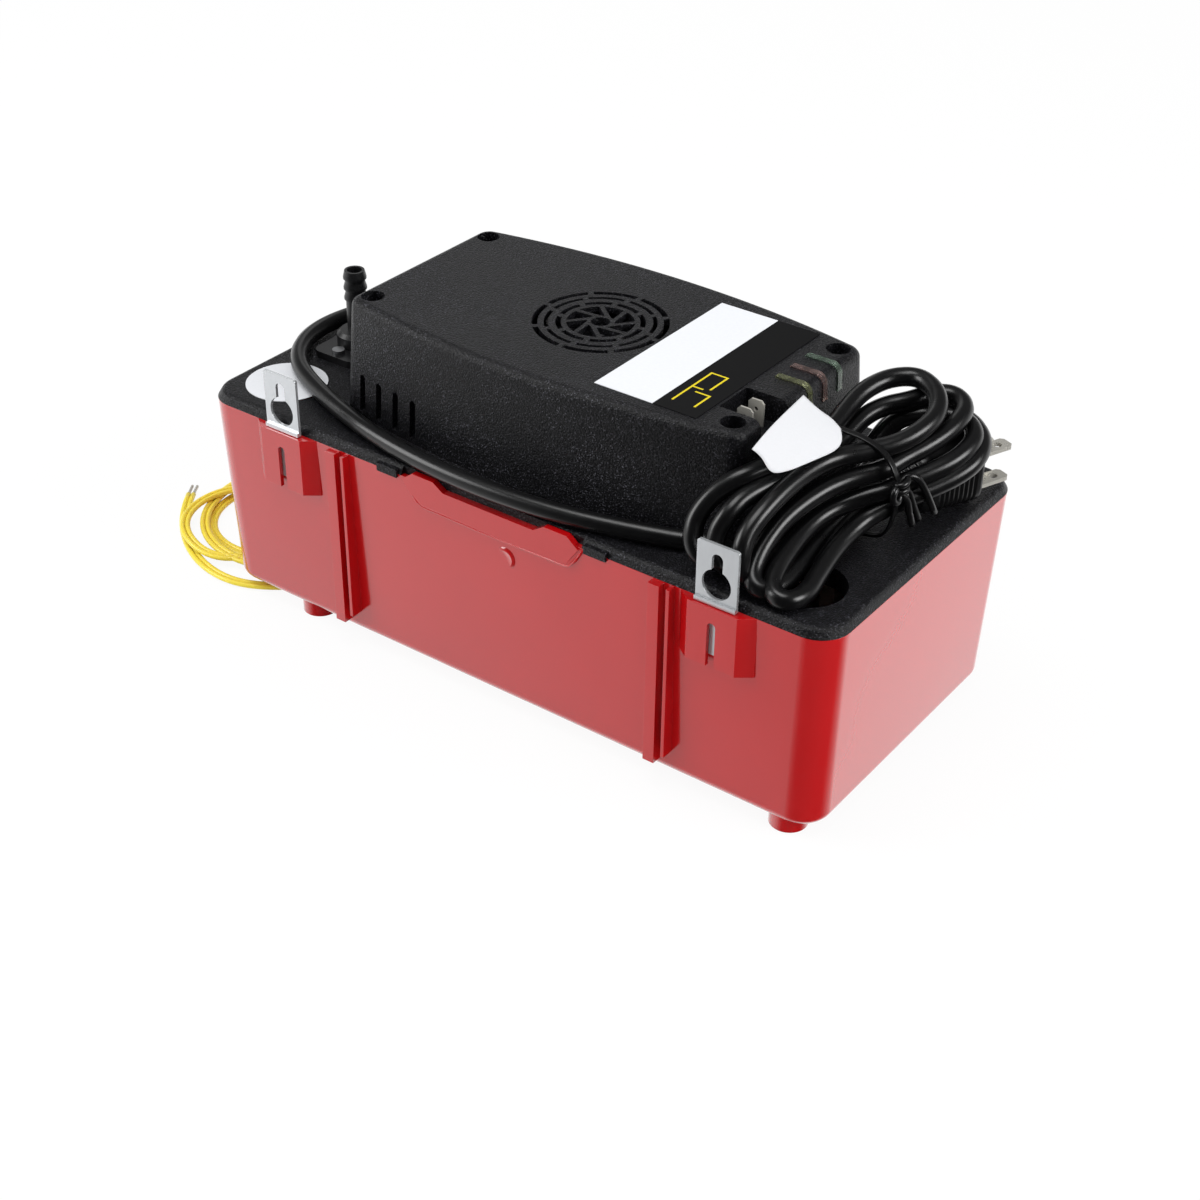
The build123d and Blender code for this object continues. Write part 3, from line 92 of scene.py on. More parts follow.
def at(x: float, y: float, z: float) -> Vector:
    """Gives the place in metres of a point in millimetres, with z measured from the rim."""
    return Vector((x * MM, (y + CENTRE_SHIFT) * MM, (z + RIM_Z) * MM))


def front_wall(z: float) -> float:
    """Gives y of the tank's front wall, which draws in towards the floor."""
    return -(WALL_AT_RIM + z * WALL_DRAFT)


# -------- shader helpers


def linear(code: str) -> Colour:
    """Turns an sRGB hex colour into the linear colour that a shader takes.

    Args:
        code: Colour as "#rrggbb".

    Returns:
        Red, green, blue and a full alpha.
    """
    values = []
    for start in (1, 3, 5):
        c = int(code[start:start + 2], 16) / 255
        values.append(c / 12.92 if c <= 0.04045 else ((c + 0.055) / 1.055) ** 2.4)
    return values[0], values[1], values[2], 1.0


def add_node(tree: Tree, kind: str, inputs: dict | None = None, **settings: object) -> Node:
    """Adds a node with its settings, values and links.

    Args:
        tree: Node tree that takes the node.
        kind: Blender's name of the node type, after ShaderNode.
        inputs: Socket name or number to a value, or to the output socket that feeds it.
        **settings: Properties of the node.

    Returns:
        The new node.
    """
    node = tree.nodes.new(f"ShaderNode{kind}")
    for name, value in settings.items():
        setattr(node, name, value)
    for socket, value in (inputs or {}).items():
        target = node.inputs[socket]
        if isinstance(value, Socket):
            tree.links.new(value, target)
        else:
            target.default_value = value
    return node


def bare_tree(owner: bpy.types.Material | bpy.types.World) -> Tree:
    """Gives the emptied node tree of a material or world."""
    owner.use_nodes = True
    owner.node_tree.nodes.clear()
    return owner.node_tree


def noise(tree: Tree, place: Socket, size_mm: float, detail: float, roughness: float = 0.5
          ) -> Socket:
    """Gives a cloudy pattern from 0 to 1.

    Args:
        tree: Node tree that takes the node.
        place: Coordinates in metres.
        size_mm: Size of its clouds.
        detail: Number of finer layers.
        roughness: Strength of the finer layers.

    Returns:
        The pattern.
    """
    return add_node(tree, "TexNoise", {
        "Vector": place, "Scale": 1 / (size_mm * MM), "Detail": detail,
        "Roughness": roughness}).outputs["Fac"]


def worked_out(tree: Tree, operation: str, *values: object) -> Socket:
    """Gives the result of one sum on values or sockets, named as Blender names it."""
    return add_node(tree, "Math", dict(enumerate(values)),
                    operation=operation).outputs[0]


def blended(tree: Tree, share: Socket, first: object, second: object) -> Socket:
    """Gives a colour that goes from the first to the second as the share goes to 1."""
    return add_node(tree, "Mix", {0: share, 6: first, 7: second},
                    data_type="RGBA").outputs[2]


def remapped(tree: Tree, value: Socket, source: Span, target: Span, ease: str = "LINEAR"
             ) -> Socket:
    """Gives a value moved from one range to another, clamped at its ends.

    Args:
        tree: Node tree that takes the node.
        value: The value.
        source: Range that it comes in.
        target: Range that it goes out in.
        ease: Blender's name of the way between the ends.

    Returns:
        The moved value.
    """
    return add_node(tree, "MapRange", {
        "Value": value, "From Min": source[0], "From Max": source[1], "To Min": target[0],
        "To Max": target[1]}, interpolation_type=ease).outputs["Result"]


@dataclass(frozen=True)
class Finish:
    """Surface of one material, plain unless a subclass draws a pattern on it."""

    slot: str
    colour: str
    roughness: float
    metallic: float = 0.0
    ior: float = 1.5
    coat: float = 0.0
    coat_roughness: float = 0.1
    transmission: float = 0.0
    shine: float = 0.5
    grain_mm: float = 1.5
    grain_depth_mm: float = 0.02
    speck: float = 0.12

    def pattern(self, tree: Tree, shader: Node, place: Socket) -> None:
        """Draws a fine grain that shades the colour, the roughness and the relief.

        Args:
            tree: The material's nodes.
            shader: Its Principled shader.
            place: Coordinates in metres on the part.
        """
        grain = noise(tree, place, self.grain_mm, 3.0)
        self.shade(tree, shader, grain, self.speck)
        self.relief(tree, shader, grain, self.grain_depth_mm)

    def shade(self, tree: Tree, shader: Node, amount: Socket, reach: float) -> None:
        """Varies colour and roughness a little by a pattern from 0 to 1.

        Args:
            tree: The material's nodes.
            shader: Its Principled shader.
            amount: The pattern.
            reach: How far the colour goes either way, as a share.
        """
        base = linear(self.colour)
        dark = tuple(c * (1 - reach) for c in base[:3]) + (1.0,)
        pale = tuple(min(1.0, c * (1 + reach) + LEAST_LIFT * reach) for c in base[:3]) + (1.0,)
        tree.links.new(blended(tree, amount, dark, pale), shader.inputs["Base Color"])
        self.roughen(tree, shader, amount, ROUGHNESS_SWING)

    def roughen(self, tree: Tree, shader: Node, amount: Socket, swing: float) -> None:
        """Varies the roughness by a pattern from 0 to 1.

        Args:
            tree: The material's nodes.
            shader: Its Principled shader.
            amount: The pattern.
            swing: How far the roughness goes either way, as a share.
        """
        ends = (self.roughness * (1 - swing), self.roughness * (1 + swing))
        tree.links.new(remapped(tree, amount, WHOLE, ends), shader.inputs["Roughness"])

    def relief(self, tree: Tree, shader: Node, height: Socket, depth_mm: float) -> None:
        """Raises the surface by a pattern.

        Args:
            tree: The material's nodes.
            shader: Its Principled shader.
            height: The pattern.
            depth_mm: Height of the pattern's full range.
        """
        bump = add_node(tree, "Bump",
                        {"Height": height, "Strength": 1.0, "Distance": depth_mm * MM})
        tree.links.new(bump.outputs["Normal"], shader.inputs["Normal"])

    def make(self) -> bpy.types.Material:
        """Makes the Blender material, once for each slot.

        Returns:
            The material.
        """
        name = f"finish_{self.slot}"
        known = bpy.data.materials.get(name)
        if known:
            return known
        material = bpy.data.materials.new(name)
        tree = bare_tree(material)
        shader = add_node(tree, "BsdfPrincipled", {
            "Base Color": linear(self.colour), "Roughness": self.roughness,
            "Metallic": self.metallic, "IOR": self.ior, "Coat Weight": self.coat,
            "Coat Roughness": self.coat_roughness, "Transmission Weight": self.transmission,
            "Specular IOR Level": self.shine})
        place = add_node(tree, "TexCoord").outputs["Object"]
        self.pattern(tree, shader, place)
        add_node(tree, "OutputMaterial", {"Surface": shader.outputs[0]})
        return material


@dataclass(frozen=True)
class GlossMoulding(Finish):
    """Polished polystyrene: slow waves of a moulded wall bend its reflections."""

    wave_mm: float = 38.0
    wave_weight: float = 12.0

    def pattern(self, tree: Tree, shader: Node, place: Socket) -> None:
        """Adds flow marks tens of millimetres long under a faint orange peel."""
        flow = noise(tree, place, self.wave_mm, 1.0)
        peel = noise(tree, place, self.grain_mm, 2.0)
        self.shade(tree, shader, flow, self.speck)
        both = worked_out(tree, "MULTIPLY_ADD", flow, self.wave_weight, peel)
        self.relief(tree, shader, both, self.grain_depth_mm)


@dataclass(frozen=True)
class PebbledMoulding(Finish):
    """Pebbled skin of an etched mould or of foam beads, whose tips get a painted highlight."""

    # Painted highlight: tip is its colour on the pebble tips, and the fields below set how it
    # spreads in broad patches.
    tip: str = "#4c4c50"
    glint_span: Span = (0.57, 0.7)
    glint_patch_mm: float = 45.0
    glint_patch_span: Span = (0.38, 0.62)
    least_glint: float = 0.35

    def pattern(self, tree: Tree, shader: Node, place: Socket) -> None:
        """Draws rounded pebbles whose tips get a painted highlight, stronger in some broad patches.
        """
        pebbles = add_node(tree, "TexVoronoi", {
            "Vector": place, "Scale": 1 / (self.grain_mm * MM), "Randomness": 1.0},
            feature="SMOOTH_F1")
        fine = noise(tree, place, self.grain_mm, 3.0, roughness=0.6)
        broad = noise(tree, place, self.glint_patch_mm, 3.0)
        # Painted highlight on the pebble tips, stronger in some broad patches, mixed into the base
        # colour.
        painted_glints = remapped(tree, fine, self.glint_span, WHOLE)
        glint_patches = remapped(tree, broad, self.glint_patch_span, (self.least_glint, 1.0))
        glint_share = worked_out(tree, "MULTIPLY", painted_glints, glint_patches)
        tone = blended(tree, glint_share, linear(self.colour), linear(self.tip))
        tree.links.new(tone, shader.inputs["Base Color"])
        self.roughen(tree, shader, broad, self.speck / 2)
        height = worked_out(tree, "SUBTRACT", fine, pebbles.outputs["Distance"])
        self.relief(tree, shader, height, self.grain_depth_mm)


@dataclass(frozen=True)
class LayeredMetal(Finish):
    """Stacked sheets or wound wire: parallel lines at the sheet's or wire's pitch."""

    pitch_mm: float = 1.0
    across: str = "Z"

    def pattern(self, tree: Tree, shader: Node, place: Socket) -> None:
        """Draws one line for each layer."""
        lines = add_node(tree, "TexWave", {
            "Vector": place, "Scale": math.pi / (10 * self.pitch_mm * MM),
            "Distortion": 0.6, "Detail": 1.0},
            wave_type="BANDS", bands_direction=self.across)
        self.shade(tree, shader, lines.outputs["Fac"], self.speck)
        self.relief(tree, shader, lines.outputs["Fac"], self.grain_depth_mm)


@dataclass(frozen=True)
class PlatedSteel(Finish):
    """Zinc or tin plate: bright, with the soft cloudiness of the plating bath."""

    stretch: float = 0.06
    cloud_mm: float = 7.0

    def pattern(self, tree: Tree, shader: Node, place: Socket) -> None:
        """Draws rolling lines along the sheet and clouds in the plating."""
        stretched = add_node(tree, "Mapping",
                             {"Vector": place, "Scale": (1.0, 1.0, self.stretch)})
        lines = noise(tree, stretched.outputs[0], self.grain_mm, 3.0)
        clouds = noise(tree, place, self.cloud_mm, 2.0)
        both = add_node(tree, "Mix", {0: 0.5, 2: lines, 3: clouds},
                        data_type="FLOAT")
        self.shade(tree, shader, both.outputs[0], self.speck)
        self.relief(tree, shader, lines, self.grain_depth_mm)


@dataclass(frozen=True)
class PrintedBoard(Finish):
    """Solder mask over copper: traces show as a paler green net."""

    trace_mm: float = 9.0
    trace_share: float = 0.07
    trace_contrast: float = 0.5
    trace_height_mm: float = 0.05

    def pattern(self, tree: Tree, shader: Node, place: Socket) -> None:
        """Draws straight traces a few millimetres apart."""
        traces = add_node(tree, "TexBrick", {
            "Vector": place, "Scale": 1 / (self.trace_mm * MM), "Mortar Size": self.trace_share,
            "Color1": (0, 0, 0, 1), "Color2": (0.15, 0.15, 0.15, 1), "Mortar": (1, 1, 1, 1)})
        self.shade(tree, shader, traces.outputs["Color"], self.trace_contrast)
        self.relief(tree, shader, traces.outputs["Color"], self.trace_height_mm)


@dataclass(frozen=True)
class RatingLabel(Finish):
    """Vinyl label: a white field, a black band and a plain yellow wiring outline, unlettered."""

    band_x: Span = (51.6, 69.6)
    band_y: Span = (-41.0, 41.0)
    band_colour: str = "#0d0d0e"
    line_colour: str = "#d9c423"
    fibre_dim: float = 0.93
    fibre_height_mm: float = 0.004
    strokes: tuple = (
        # x span, y span
        ((55.0, 55.8), (-34.0, -9.0)), ((55.0, 62.5), (-9.8, -9.0)),
        ((61.7, 62.5), (-20.5, -9.0)), ((55.0, 60.0), (-22.0, -21.2)),
        ((64.2, 65.0), (-34.0, -24.0)), ((58.5, 65.0), (-24.8, -24.0)),
    )

    def pattern(self, tree: Tree, shader: Node, place: Socket) -> None:
        """Prints the band and the outline by their places on the cover."""
        split = add_node(tree, "SeparateXYZ", {0: place})

        def inside(x_span: Span, y_span: Span) -> Socket:
            """Gives 1 within a rectangle in millimetres, and 0 outside."""
            hits = []
            for axis, span, shift in (("X", x_span, 0.0), ("Y", y_span, CENTRE_SHIFT)):
                middle = ((span[0] + span[1]) / 2 + shift) * MM
                half = (span[1] - span[0]) / 2 * MM
                hits.append(worked_out(tree, "COMPARE", split.outputs[axis], middle, half))
            return worked_out(tree, "MULTIPLY", *hits)

        fibre = noise(tree, place, self.grain_mm, 2.0)
        base = linear(self.colour)
        dim = tuple(c * self.fibre_dim for c in base[:3]) + (1.0,)
        tone = blended(tree, inside(self.band_x, self.band_y), blended(tree, fibre, base, dim),
                       linear(self.band_colour))
        for x_span, y_span in self.strokes:
            tone = blended(tree, inside(x_span, y_span), tone, linear(self.line_colour))
        tree.links.new(tone, shader.inputs["Base Color"])
        self.relief(tree, shader, fibre, self.fibre_height_mm)


# Each finish is named for the real material and how its surface was made.
FINISHES: dict[str, Finish] = {finish.slot: finish for finish in (
    # Injection-moulded polystyrene, mirror-polished mould: deep red under a glossy skin.
    GlossMoulding("tank_plastic", "#b4070c", 0.2, ior=1.59, coat=1.0,
                  grain_mm=2.5, grain_depth_mm=0.012, speck=0.06),
    # Injection-moulded ABS from an etched mould; its greyer pebble tips are a painted highlight.
    PebbledMoulding("black_plastic", "#08080b", 0.38, ior=1.54, shine=0.28, grain_mm=0.62,
                    grain_depth_mm=0.25, speck=0.5, tip="#62626a"),
    # Extruded PVC jacket: nearly smooth, with long highlights.
    Finish("cord_jacket", "#050506", 0.29, ior=1.55, grain_mm=4.0, grain_depth_mm=0.002,
           speck=0.05),
    # Pressed steel, bright zinc plating.
    PlatedSteel("zinc_plate", "#d6d9dc", 0.22, metallic=0.72, grain_mm=0.9,
                grain_depth_mm=0.006),
    # Machine screws, zinc-plated, a little duller than the sheet.
    PlatedSteel("steel_screw", "#9a9b9d", 0.36, metallic=1.0, grain_mm=0.8,
                grain_depth_mm=0.01, speck=0.15),
    # Silicon-steel laminations; 0.5 mm sheets drawn 1 mm thick.
    LayeredMetal("lamination_steel", "#6d6f72", 0.45, metallic=1.0, grain_depth_mm=0.08,
                 speck=0.35, pitch_mm=1.0),
    # Self-adhesive vinyl with a matt print.
    RatingLabel("white_label", "#e2e4e8", 0.5, shine=0.12, grain_mm=1.2),
    # Glass-epoxy board under green solder mask.
    PrintedBoard("board_green", "#17552c", 0.35, ior=1.55),
    # Cast acrylic light pipes, lightly tinted.
    *(Finish(slot, colour, 0.14, ior=1.49, transmission=0.93, grain_depth_mm=0.004)
      for slot, colour in (("green_pipe", "#b4cbb9"), ("red_pipe", "#cdb0ab"),
                           ("yellow_pipe", "#c5c99f"))),
    # Cast epoxy lamp bodies, milky.
    Finish("lamp_epoxy", "#d8dccf", 0.18, ior=1.55, transmission=0.35, grain_depth_mm=0.004),
    # Tin-plated brass terminals and crimped wire ends.
    PlatedSteel("tin_plate", "#d8d5cc", 0.28, metallic=0.6, grain_mm=0.7,
                grain_depth_mm=0.008, speck=0.14),
    # Enamelled copper winding; 0.4 mm wire drawn at 0.9 mm pitch.
    LayeredMetal("copper", "#a3562c", 0.32, metallic=1.0, grain_depth_mm=0.1, speck=0.35,
                 pitch_mm=0.9, across="X"),
    # Nylon 6 fan and fittings: satin, slightly uneven.
    Finish("nylon_white", "#dcdacf", 0.42, ior=1.53, grain_mm=2.2, speck=0.05),
    # Sintered bronze bearings: matt, porous.
    Finish("bronze", "#8a6434", 0.5, metallic=1.0, grain_mm=0.8, grain_depth_mm=0.05,
           speck=0.3),
    # Clear PVC hose.
    Finish("clear_hose", "#d9dedb", 0.16, ior=1.53, transmission=0.7, grain_mm=3.0,
           grain_depth_mm=0.01, speck=0.05),
    # Glass-filled acetal valve: black, smoother than the cover.
    Finish("valve_plastic", "#101012", 0.34, ior=1.48, grain_mm=1.0, speck=0.3),
    # Nitrile seal rings.
    Finish("seal_rubber", "#0f0f10", 0.6, ior=1.52, grain_mm=1.0, speck=0.3),
    # Closed-cell polystyrene float; the paler tips of its beads are a painted highlight.
    PebbledMoulding("float_foam", "#d7d9d8", 0.65, grain_mm=3.0, grain_depth_mm=0.25,
                    speck=0.08, tip="#f2f3f2"),
    # Phenolic switch case and its acetal button.
    Finish("switch_case", "#1c1a18", 0.45, grain_mm=1.0, grain_depth_mm=0.03, speck=0.25),
    Finish("switch_button", "#8f2b22", 0.35, grain_mm=1.0, grain_depth_mm=0.01),
    # Uncoated paper tag.
    Finish("tag_sheet", "#d6d7da", 0.72, ior=1.45, grain_mm=1.0, grain_depth_mm=0.015,
           speck=0.03),
    # Extruded yellow PVC insulation.
    Finish("lead_yellow", "#f0dc48", 0.3, ior=1.53, grain_mm=4.0, grain_depth_mm=0.0,
           speck=0.02),
)}


def placed(name: str, data: bpy.types.ID) -> Thing:
    """Makes an object of some data and links it to the scene."""
    thing = bpy.data.objects.new(name, data)
    bpy.context.scene.collection.objects.link(thing)
    return thing


def dress(thing: Thing, slot: str) -> None:
    """Gives an object one finish all over.

    Args:
        thing: CAD node or new piece.
        slot: Name of the finish, which is the record's material slot.
    """
    material = FINISHES[slot].make()
    if not thing.data.materials:
        thing.data.materials.append(material)
    for index in range(len(thing.data.materials)):
        thing.data.materials[index] = material


def new_piece(name: str, mesh: bmesh.types.BMesh, slot: str) -> Thing:
    """Turns a bmesh into a dressed piece that rides on the housing.

    Args:
        name: Name of the piece.
        mesh: Its shape in metres, freed afterwards.
        slot: Its finish.

    Returns:
        The object.
    """
    bmesh.ops.recalc_face_normals(mesh, faces=mesh.faces)
    data = bpy.data.meshes.new(name)
    mesh.to_mesh(data)
    mesh.free()
    for polygon in data.polygons:
        polygon.use_smooth = True
    piece = placed(name, data)
    dress(piece, slot)
    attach(piece, HOUSING)
    LOG.info("made %s", name)
    return piece


def stitch(mesh: bmesh.types.BMesh, rows: list[list[bmesh.types.BMVert]],
           closed: bool = True) -> None:
    """Joins rows of vertices by four-sided faces.

    Args:
        mesh: Takes the new faces.
        rows: Rows of equally many vertices.
        closed: Whether a row's end joins its start.
    """
    count = len(rows[0])
    for low, high in zip(rows, rows[1:]):
        for i in range(count if closed else count - 1):
            j = (i + 1) % count
            mesh.faces.new((low[i], low[j], high[j], high[i]))


def swept(mesh: bmesh.types.BMesh, path: list[Vector], outline: list[Span],
          sides: list[Vector] | None = None) -> None:
    """Sweeps a closed outline along a path, with capped ends.

    Args:
        mesh: Takes the new faces.
        path: Points in metres.
        outline: Points of the section in metres, across and along the side direction.
        sides: Side direction at each point; level with the floor where none is given.
    """
    rings = []
    last_side = Vector((1, 0, 0))
    for index, point in enumerate(path):
        ahead = path[min(index + 1, len(path) - 1)] - path[max(index - 1, 0)]
        way = ahead.normalized()
        side = sides[index] if sides else way.cross(Vector((0, 0, 1)))
        if side.length < 0.3:
            side = last_side
        if index and not sides and side.dot(last_side) < 0:
            side = -side
        side = (side - way * side.dot(way)).normalized()
        last_side = side
        rise = side.cross(way)
        rings.append([mesh.verts.new(point + side * a + rise * b) for a, b in outline])
    stitch(mesh, rings)
    mesh.faces.new(rings[0])
    mesh.faces.new(list(reversed(rings[-1])))


def circle_outline(radius: float, count: int = 12) -> list[Span]:
    """Gives the points of a circle about the origin."""
    return [(radius * math.cos(2 * math.pi * i / count), radius * math.sin(2 * math.pi * i / count))
            for i in range(count)]


def spline_object(name: str, points: list[Vector], radius: float) -> Thing:
    """Makes a smooth cord as a NURBS curve with round section.

    Args:
        name: Name of the curve.
        points: Control points in metres.
        radius: Radius of the cord in metres; 0 gives a bare line.

    Returns:
        The curve object, linked to the scene.
    """
    curve = bpy.data.curves.new(name, "CURVE")
    curve.dimensions = "3D"
    spline = curve.splines.new("NURBS")
    spline.points.add(len(points) - 1)
    for target, point in zip(spline.points, points):
        target.co = (*point, 1.0)
    spline.order_u = 3
    spline.use_endpoint_u = True
    spline.resolution_u = 6
    curve.bevel_depth = radius
    curve.bevel_resolution = 5
    curve.use_fill_caps = True
    return placed(name, curve)


def smooth_line(points: list[Vector]) -> list[Vector]:
    """Gives the line that a cord with these control points follows.

    Args:
        points: Control points in metres.

    Returns:
        Points in metres from its start to its end.
    """
    curve = spline_object("guide_line", points, 0.0)
    graph = bpy.context.evaluated_depsgraph_get()
    line = bpy.data.meshes.new_from_object(curve.evaluated_get(graph))
    found = [vertex.co.copy() for vertex in line.vertices]
    bpy.data.meshes.remove(line)
    bpy.data.objects.remove(curve)
    return found


# -------- camera and studio


@dataclass
class Studio:
    """White floor, soft lamps and the camera."""

    camera_place: Point = (400.87, -549.79, 467.86)
    yaw: float = 35.986
    pitch: float = 33.77
    roll: float = 0.715
    lens: float = 61.27
    shift: Span = (0.0014, 0.0025)
    floor_size: float = 8.0
    floor_white: float = 0.93
    ambient: float = 0.55
    open_side: Point = (0.77, -0.64, 0.0)
    mirror_sides: Span = (1.05, 0.03)
    mirror_heights: Span = (1.0, 0.12)
    aim: Point = (0.0, 0.0, 0.06)
    lamps: tuple = (
        # name, place in metres, size in metres, power in watts
        ("top_panel", (-0.1, -0.3, 1.5), (1.0, 0.6), 8.0),
        ("left_panel", (-1.3, -0.9, 0.9), (0.9, 0.9), 13.0),
        ("right_panel", (1.4, 0.2, 0.8), (0.8, 0.7), 14.0),
        ("back_panel", (-0.62, 0.6, 0.7), (0.4, 0.4), 0.4),
    )

    def make_camera(self) -> None:
        """Sets the camera, turned by its yaw, pitch and roll."""
        data = bpy.data.cameras.new("view")
        data.lens = self.lens
        data.sensor_width = 36.0
        data.shift_x, data.shift_y = self.shift
        data.clip_start = 0.01
        camera = placed("view", data)
        y, p, r = (math.radians(a) for a in (self.yaw, self.pitch, self.roll))
        ahead = Vector((-math.sin(y) * math.cos(p), math.cos(y) * math.cos(p), -math.sin(p)))
        right = Vector((math.cos(y), math.sin(y), 0))
        up = right.cross(ahead)
        across = math.cos(r) * right + math.sin(r) * up
        over = -math.sin(r) * right + math.cos(r) * up
        frame = Matrix((across, over, -ahead)).transposed().to_4x4()
        frame.translation = Vector(self.camera_place) * MM
        camera.matrix_world = frame
        bpy.context.scene.camera = camera
        LOG.info("camera set")

    def seen(self, tree: Tree, *rays: str) -> Socket:
        """Gives 1 for the kinds of ray that are named, and 0 for others.

        Args:
            tree: Node tree of a world or material.
            *rays: Outputs of the Light Path node.

        Returns:
            The socket that says so.
        """
        path = add_node(tree, "LightPath")
        found = path.outputs[rays[0]]
        for ray in rays[1:]:
            found = worked_out(tree, "MAXIMUM", found, path.outputs[ray])
        return found

    def make_world(self) -> None:
        """Makes an even pale surround, whose mirror image is dark on the open front side."""
        world = bpy.data.worlds.new("surround")
        bpy.context.scene.world = world
        tree = bare_tree(world)
        way = add_node(tree, "TexCoord").outputs["Generated"]
        toward = add_node(tree, "VectorMath", {0: way, 1: self.open_side},
                          operation="DOT_PRODUCT").outputs["Value"]
        side = remapped(tree, toward, (-0.25, 0.5), self.mirror_sides, "SMOOTHSTEP")
        height = add_node(tree, "SeparateXYZ", {0: way}).outputs["Z"]
        above = remapped(tree, height, (-0.1, 0.35), self.mirror_heights, "SMOOTHSTEP")
        mirrored = worked_out(tree, "MULTIPLY", side, above)
        soft = add_node(tree, "Background", {"Strength": self.ambient})
        gloss = add_node(tree, "Background", {"Strength": mirrored})
        white = add_node(tree, "Background", {"Strength": 1.0})
        for background in (soft, gloss, white):
            background.inputs["Color"].default_value = (1, 1, 1, 1)
        first = add_node(tree, "MixShader", {
            0: self.seen(tree, "Is Glossy Ray"), 1: soft.outputs[0], 2: gloss.outputs[0]})
        both = add_node(tree, "MixShader", {
            0: self.seen(tree, "Is Camera Ray", "Is Transmission Ray"),
            1: first.outputs[0], 2: white.outputs[0]})
        add_node(tree, "OutputWorld", {"Surface": both.outputs[0]})

    def make_floor(self) -> None:
        """Makes the white floor, which keeps a faint shadow."""
        mesh = bmesh.new()
        bmesh.ops.create_grid(mesh, x_segments=2, y_segments=2, size=self.floor_size / 2)
        data = bpy.data.meshes.new("floor")
        mesh.to_mesh(data)
        mesh.free()
        floor = placed("floor", data)
        floor.location.z = -0.0004
        material = bpy.data.materials.new("white_floor")
        tree = bare_tree(material)
        matt = add_node(tree, "BsdfDiffuse", {"Color": (0.92, 0.92, 0.92, 1.0)})
        white = add_node(tree, "Emission", {"Color": (1, 1, 1, 1), "Strength": 1.0})
        seen = self.seen(tree, "Is Camera Ray", "Is Transmission Ray")
        share = worked_out(tree, "MULTIPLY", seen, self.floor_white)
        mixed = add_node(tree, "MixShader", {
            0: share, 1: matt.outputs[0], 2: white.outputs[0]})
        add_node(tree, "OutputMaterial", {"Surface": mixed.outputs[0]})
        floor.data.materials.append(material)
        floor.visible_glossy = False

    def make_lamps(self) -> None:
        """Hangs the soft panels, each turned to the middle of the pump."""
        for name, place, size, power in self.lamps:
            data = bpy.data.lights.new(name, "AREA")
            data.shape = "RECTANGLE"
            data.size, data.size_y = size
            data.energy = power
            lamp = placed(name, data)
            lamp.location = place
            ahead = Vector(self.aim) - Vector(place)
            lamp.rotation_euler = ahead.to_track_quat("-Z", "Y").to_euler()

    def make(self) -> None:
        """Makes the whole studio."""
        self.make_camera()
        self.make_world()
        self.make_floor()
        self.make_lamps()
        bpy.context.scene.view_settings.view_transform = "Standard"


# -------- moulded housing


class Softness(Enum):
    """How round the edges of a moulding are, in millimetres."""

    CRISP = 0.25
    MOULDED = 0.5
    SOFT = 0.8


@dataclass
class Mouldings:
    """CAD solids that show as they are, with soft edges and their finishes."""

    nodes: dict[str, Thing]
    weld_mm: float = 0.02
    bevel_degrees: float = 32.0
    edges: dict[str, Softness] = field(default_factory=lambda: {
        "tank": Softness.MOULDED, "deck": Softness.MOULDED, "motor_cover": Softness.SOFT,
        "left_hanger": Softness.CRISP, "right_hanger": Softness.CRISP})

    def soften(self, name: str, softness: Softness) -> None:
        """Rounds the edges of a node with modifiers, so that they catch the light.

        Args:
            name: The node.
            softness: How round they get.
        """
        thing = self.nodes[name]
        data = thing.data
        if "custom_normal" in data.attributes:
            data.attributes.remove(data.attributes["custom_normal"])
        for polygon in data.polygons:
            polygon.use_smooth = True
        weld = thing.modifiers.new("weld", "WELD")
        weld.merge_threshold = self.weld_mm * MM
        bevel = thing.modifiers.new("soft_edge", "BEVEL")
        bevel.width = softness.value * MM
        bevel.segments = 2
        bevel.limit_method = "ANGLE"
        bevel.angle_limit = math.radians(self.bevel_degrees)
        thing.modifiers.new("flat_faces", "WEIGHTED_NORMAL").keep_sharp = True

    def make(self, slots: dict[str, str]) -> None:
        """Dresses every node in the finish that the record names.

        Args:
            slots: Node name to material slot.
        """
        for name, thing in self.nodes.items():
            dress(thing, slots[name])
            if name in self.edges:
                self.soften(name, self.edges[name])
        LOG.info("dressed %d solids", len(self.nodes))


@dataclass
class MouldMark:
    """Half-moon gate mark on the tank's front wall."""

    centre_x: float = 7.2
    centre_z: float = -17.4
    radius: float = 4.4
    first_angle: float = -48.0
    steps: int = 14
    section: tuple[Span, ...] = (
        # share of the radius, height above the wall
        (0.0, 0.05), (0.5, 0.1), (0.74, 0.85), (0.8, 0.85), (1.0, 0.0),
    )

    def make(self) -> None:
        """Raises a half disc whose round edge stands proud of the wall."""
        mesh = bmesh.new()
        rows = []
        for share, proud in self.section:
            row = []
            for step in range(self.steps + 1):
                turn = math.radians(self.first_angle + 180 * step / self.steps)
                x = self.centre_x + self.radius * share * math.cos(turn)
                z = self.centre_z + self.radius * share * math.sin(turn)
                row.append(mesh.verts.new(at(x, front_wall(z) - proud, z)))
            rows.append(row)
        stitch(mesh, rows, closed=False)
        bmesh.ops.remove_doubles(mesh, verts=mesh.verts, dist=1e-6)
        new_piece("gate_mark", mesh, "tank_plastic")


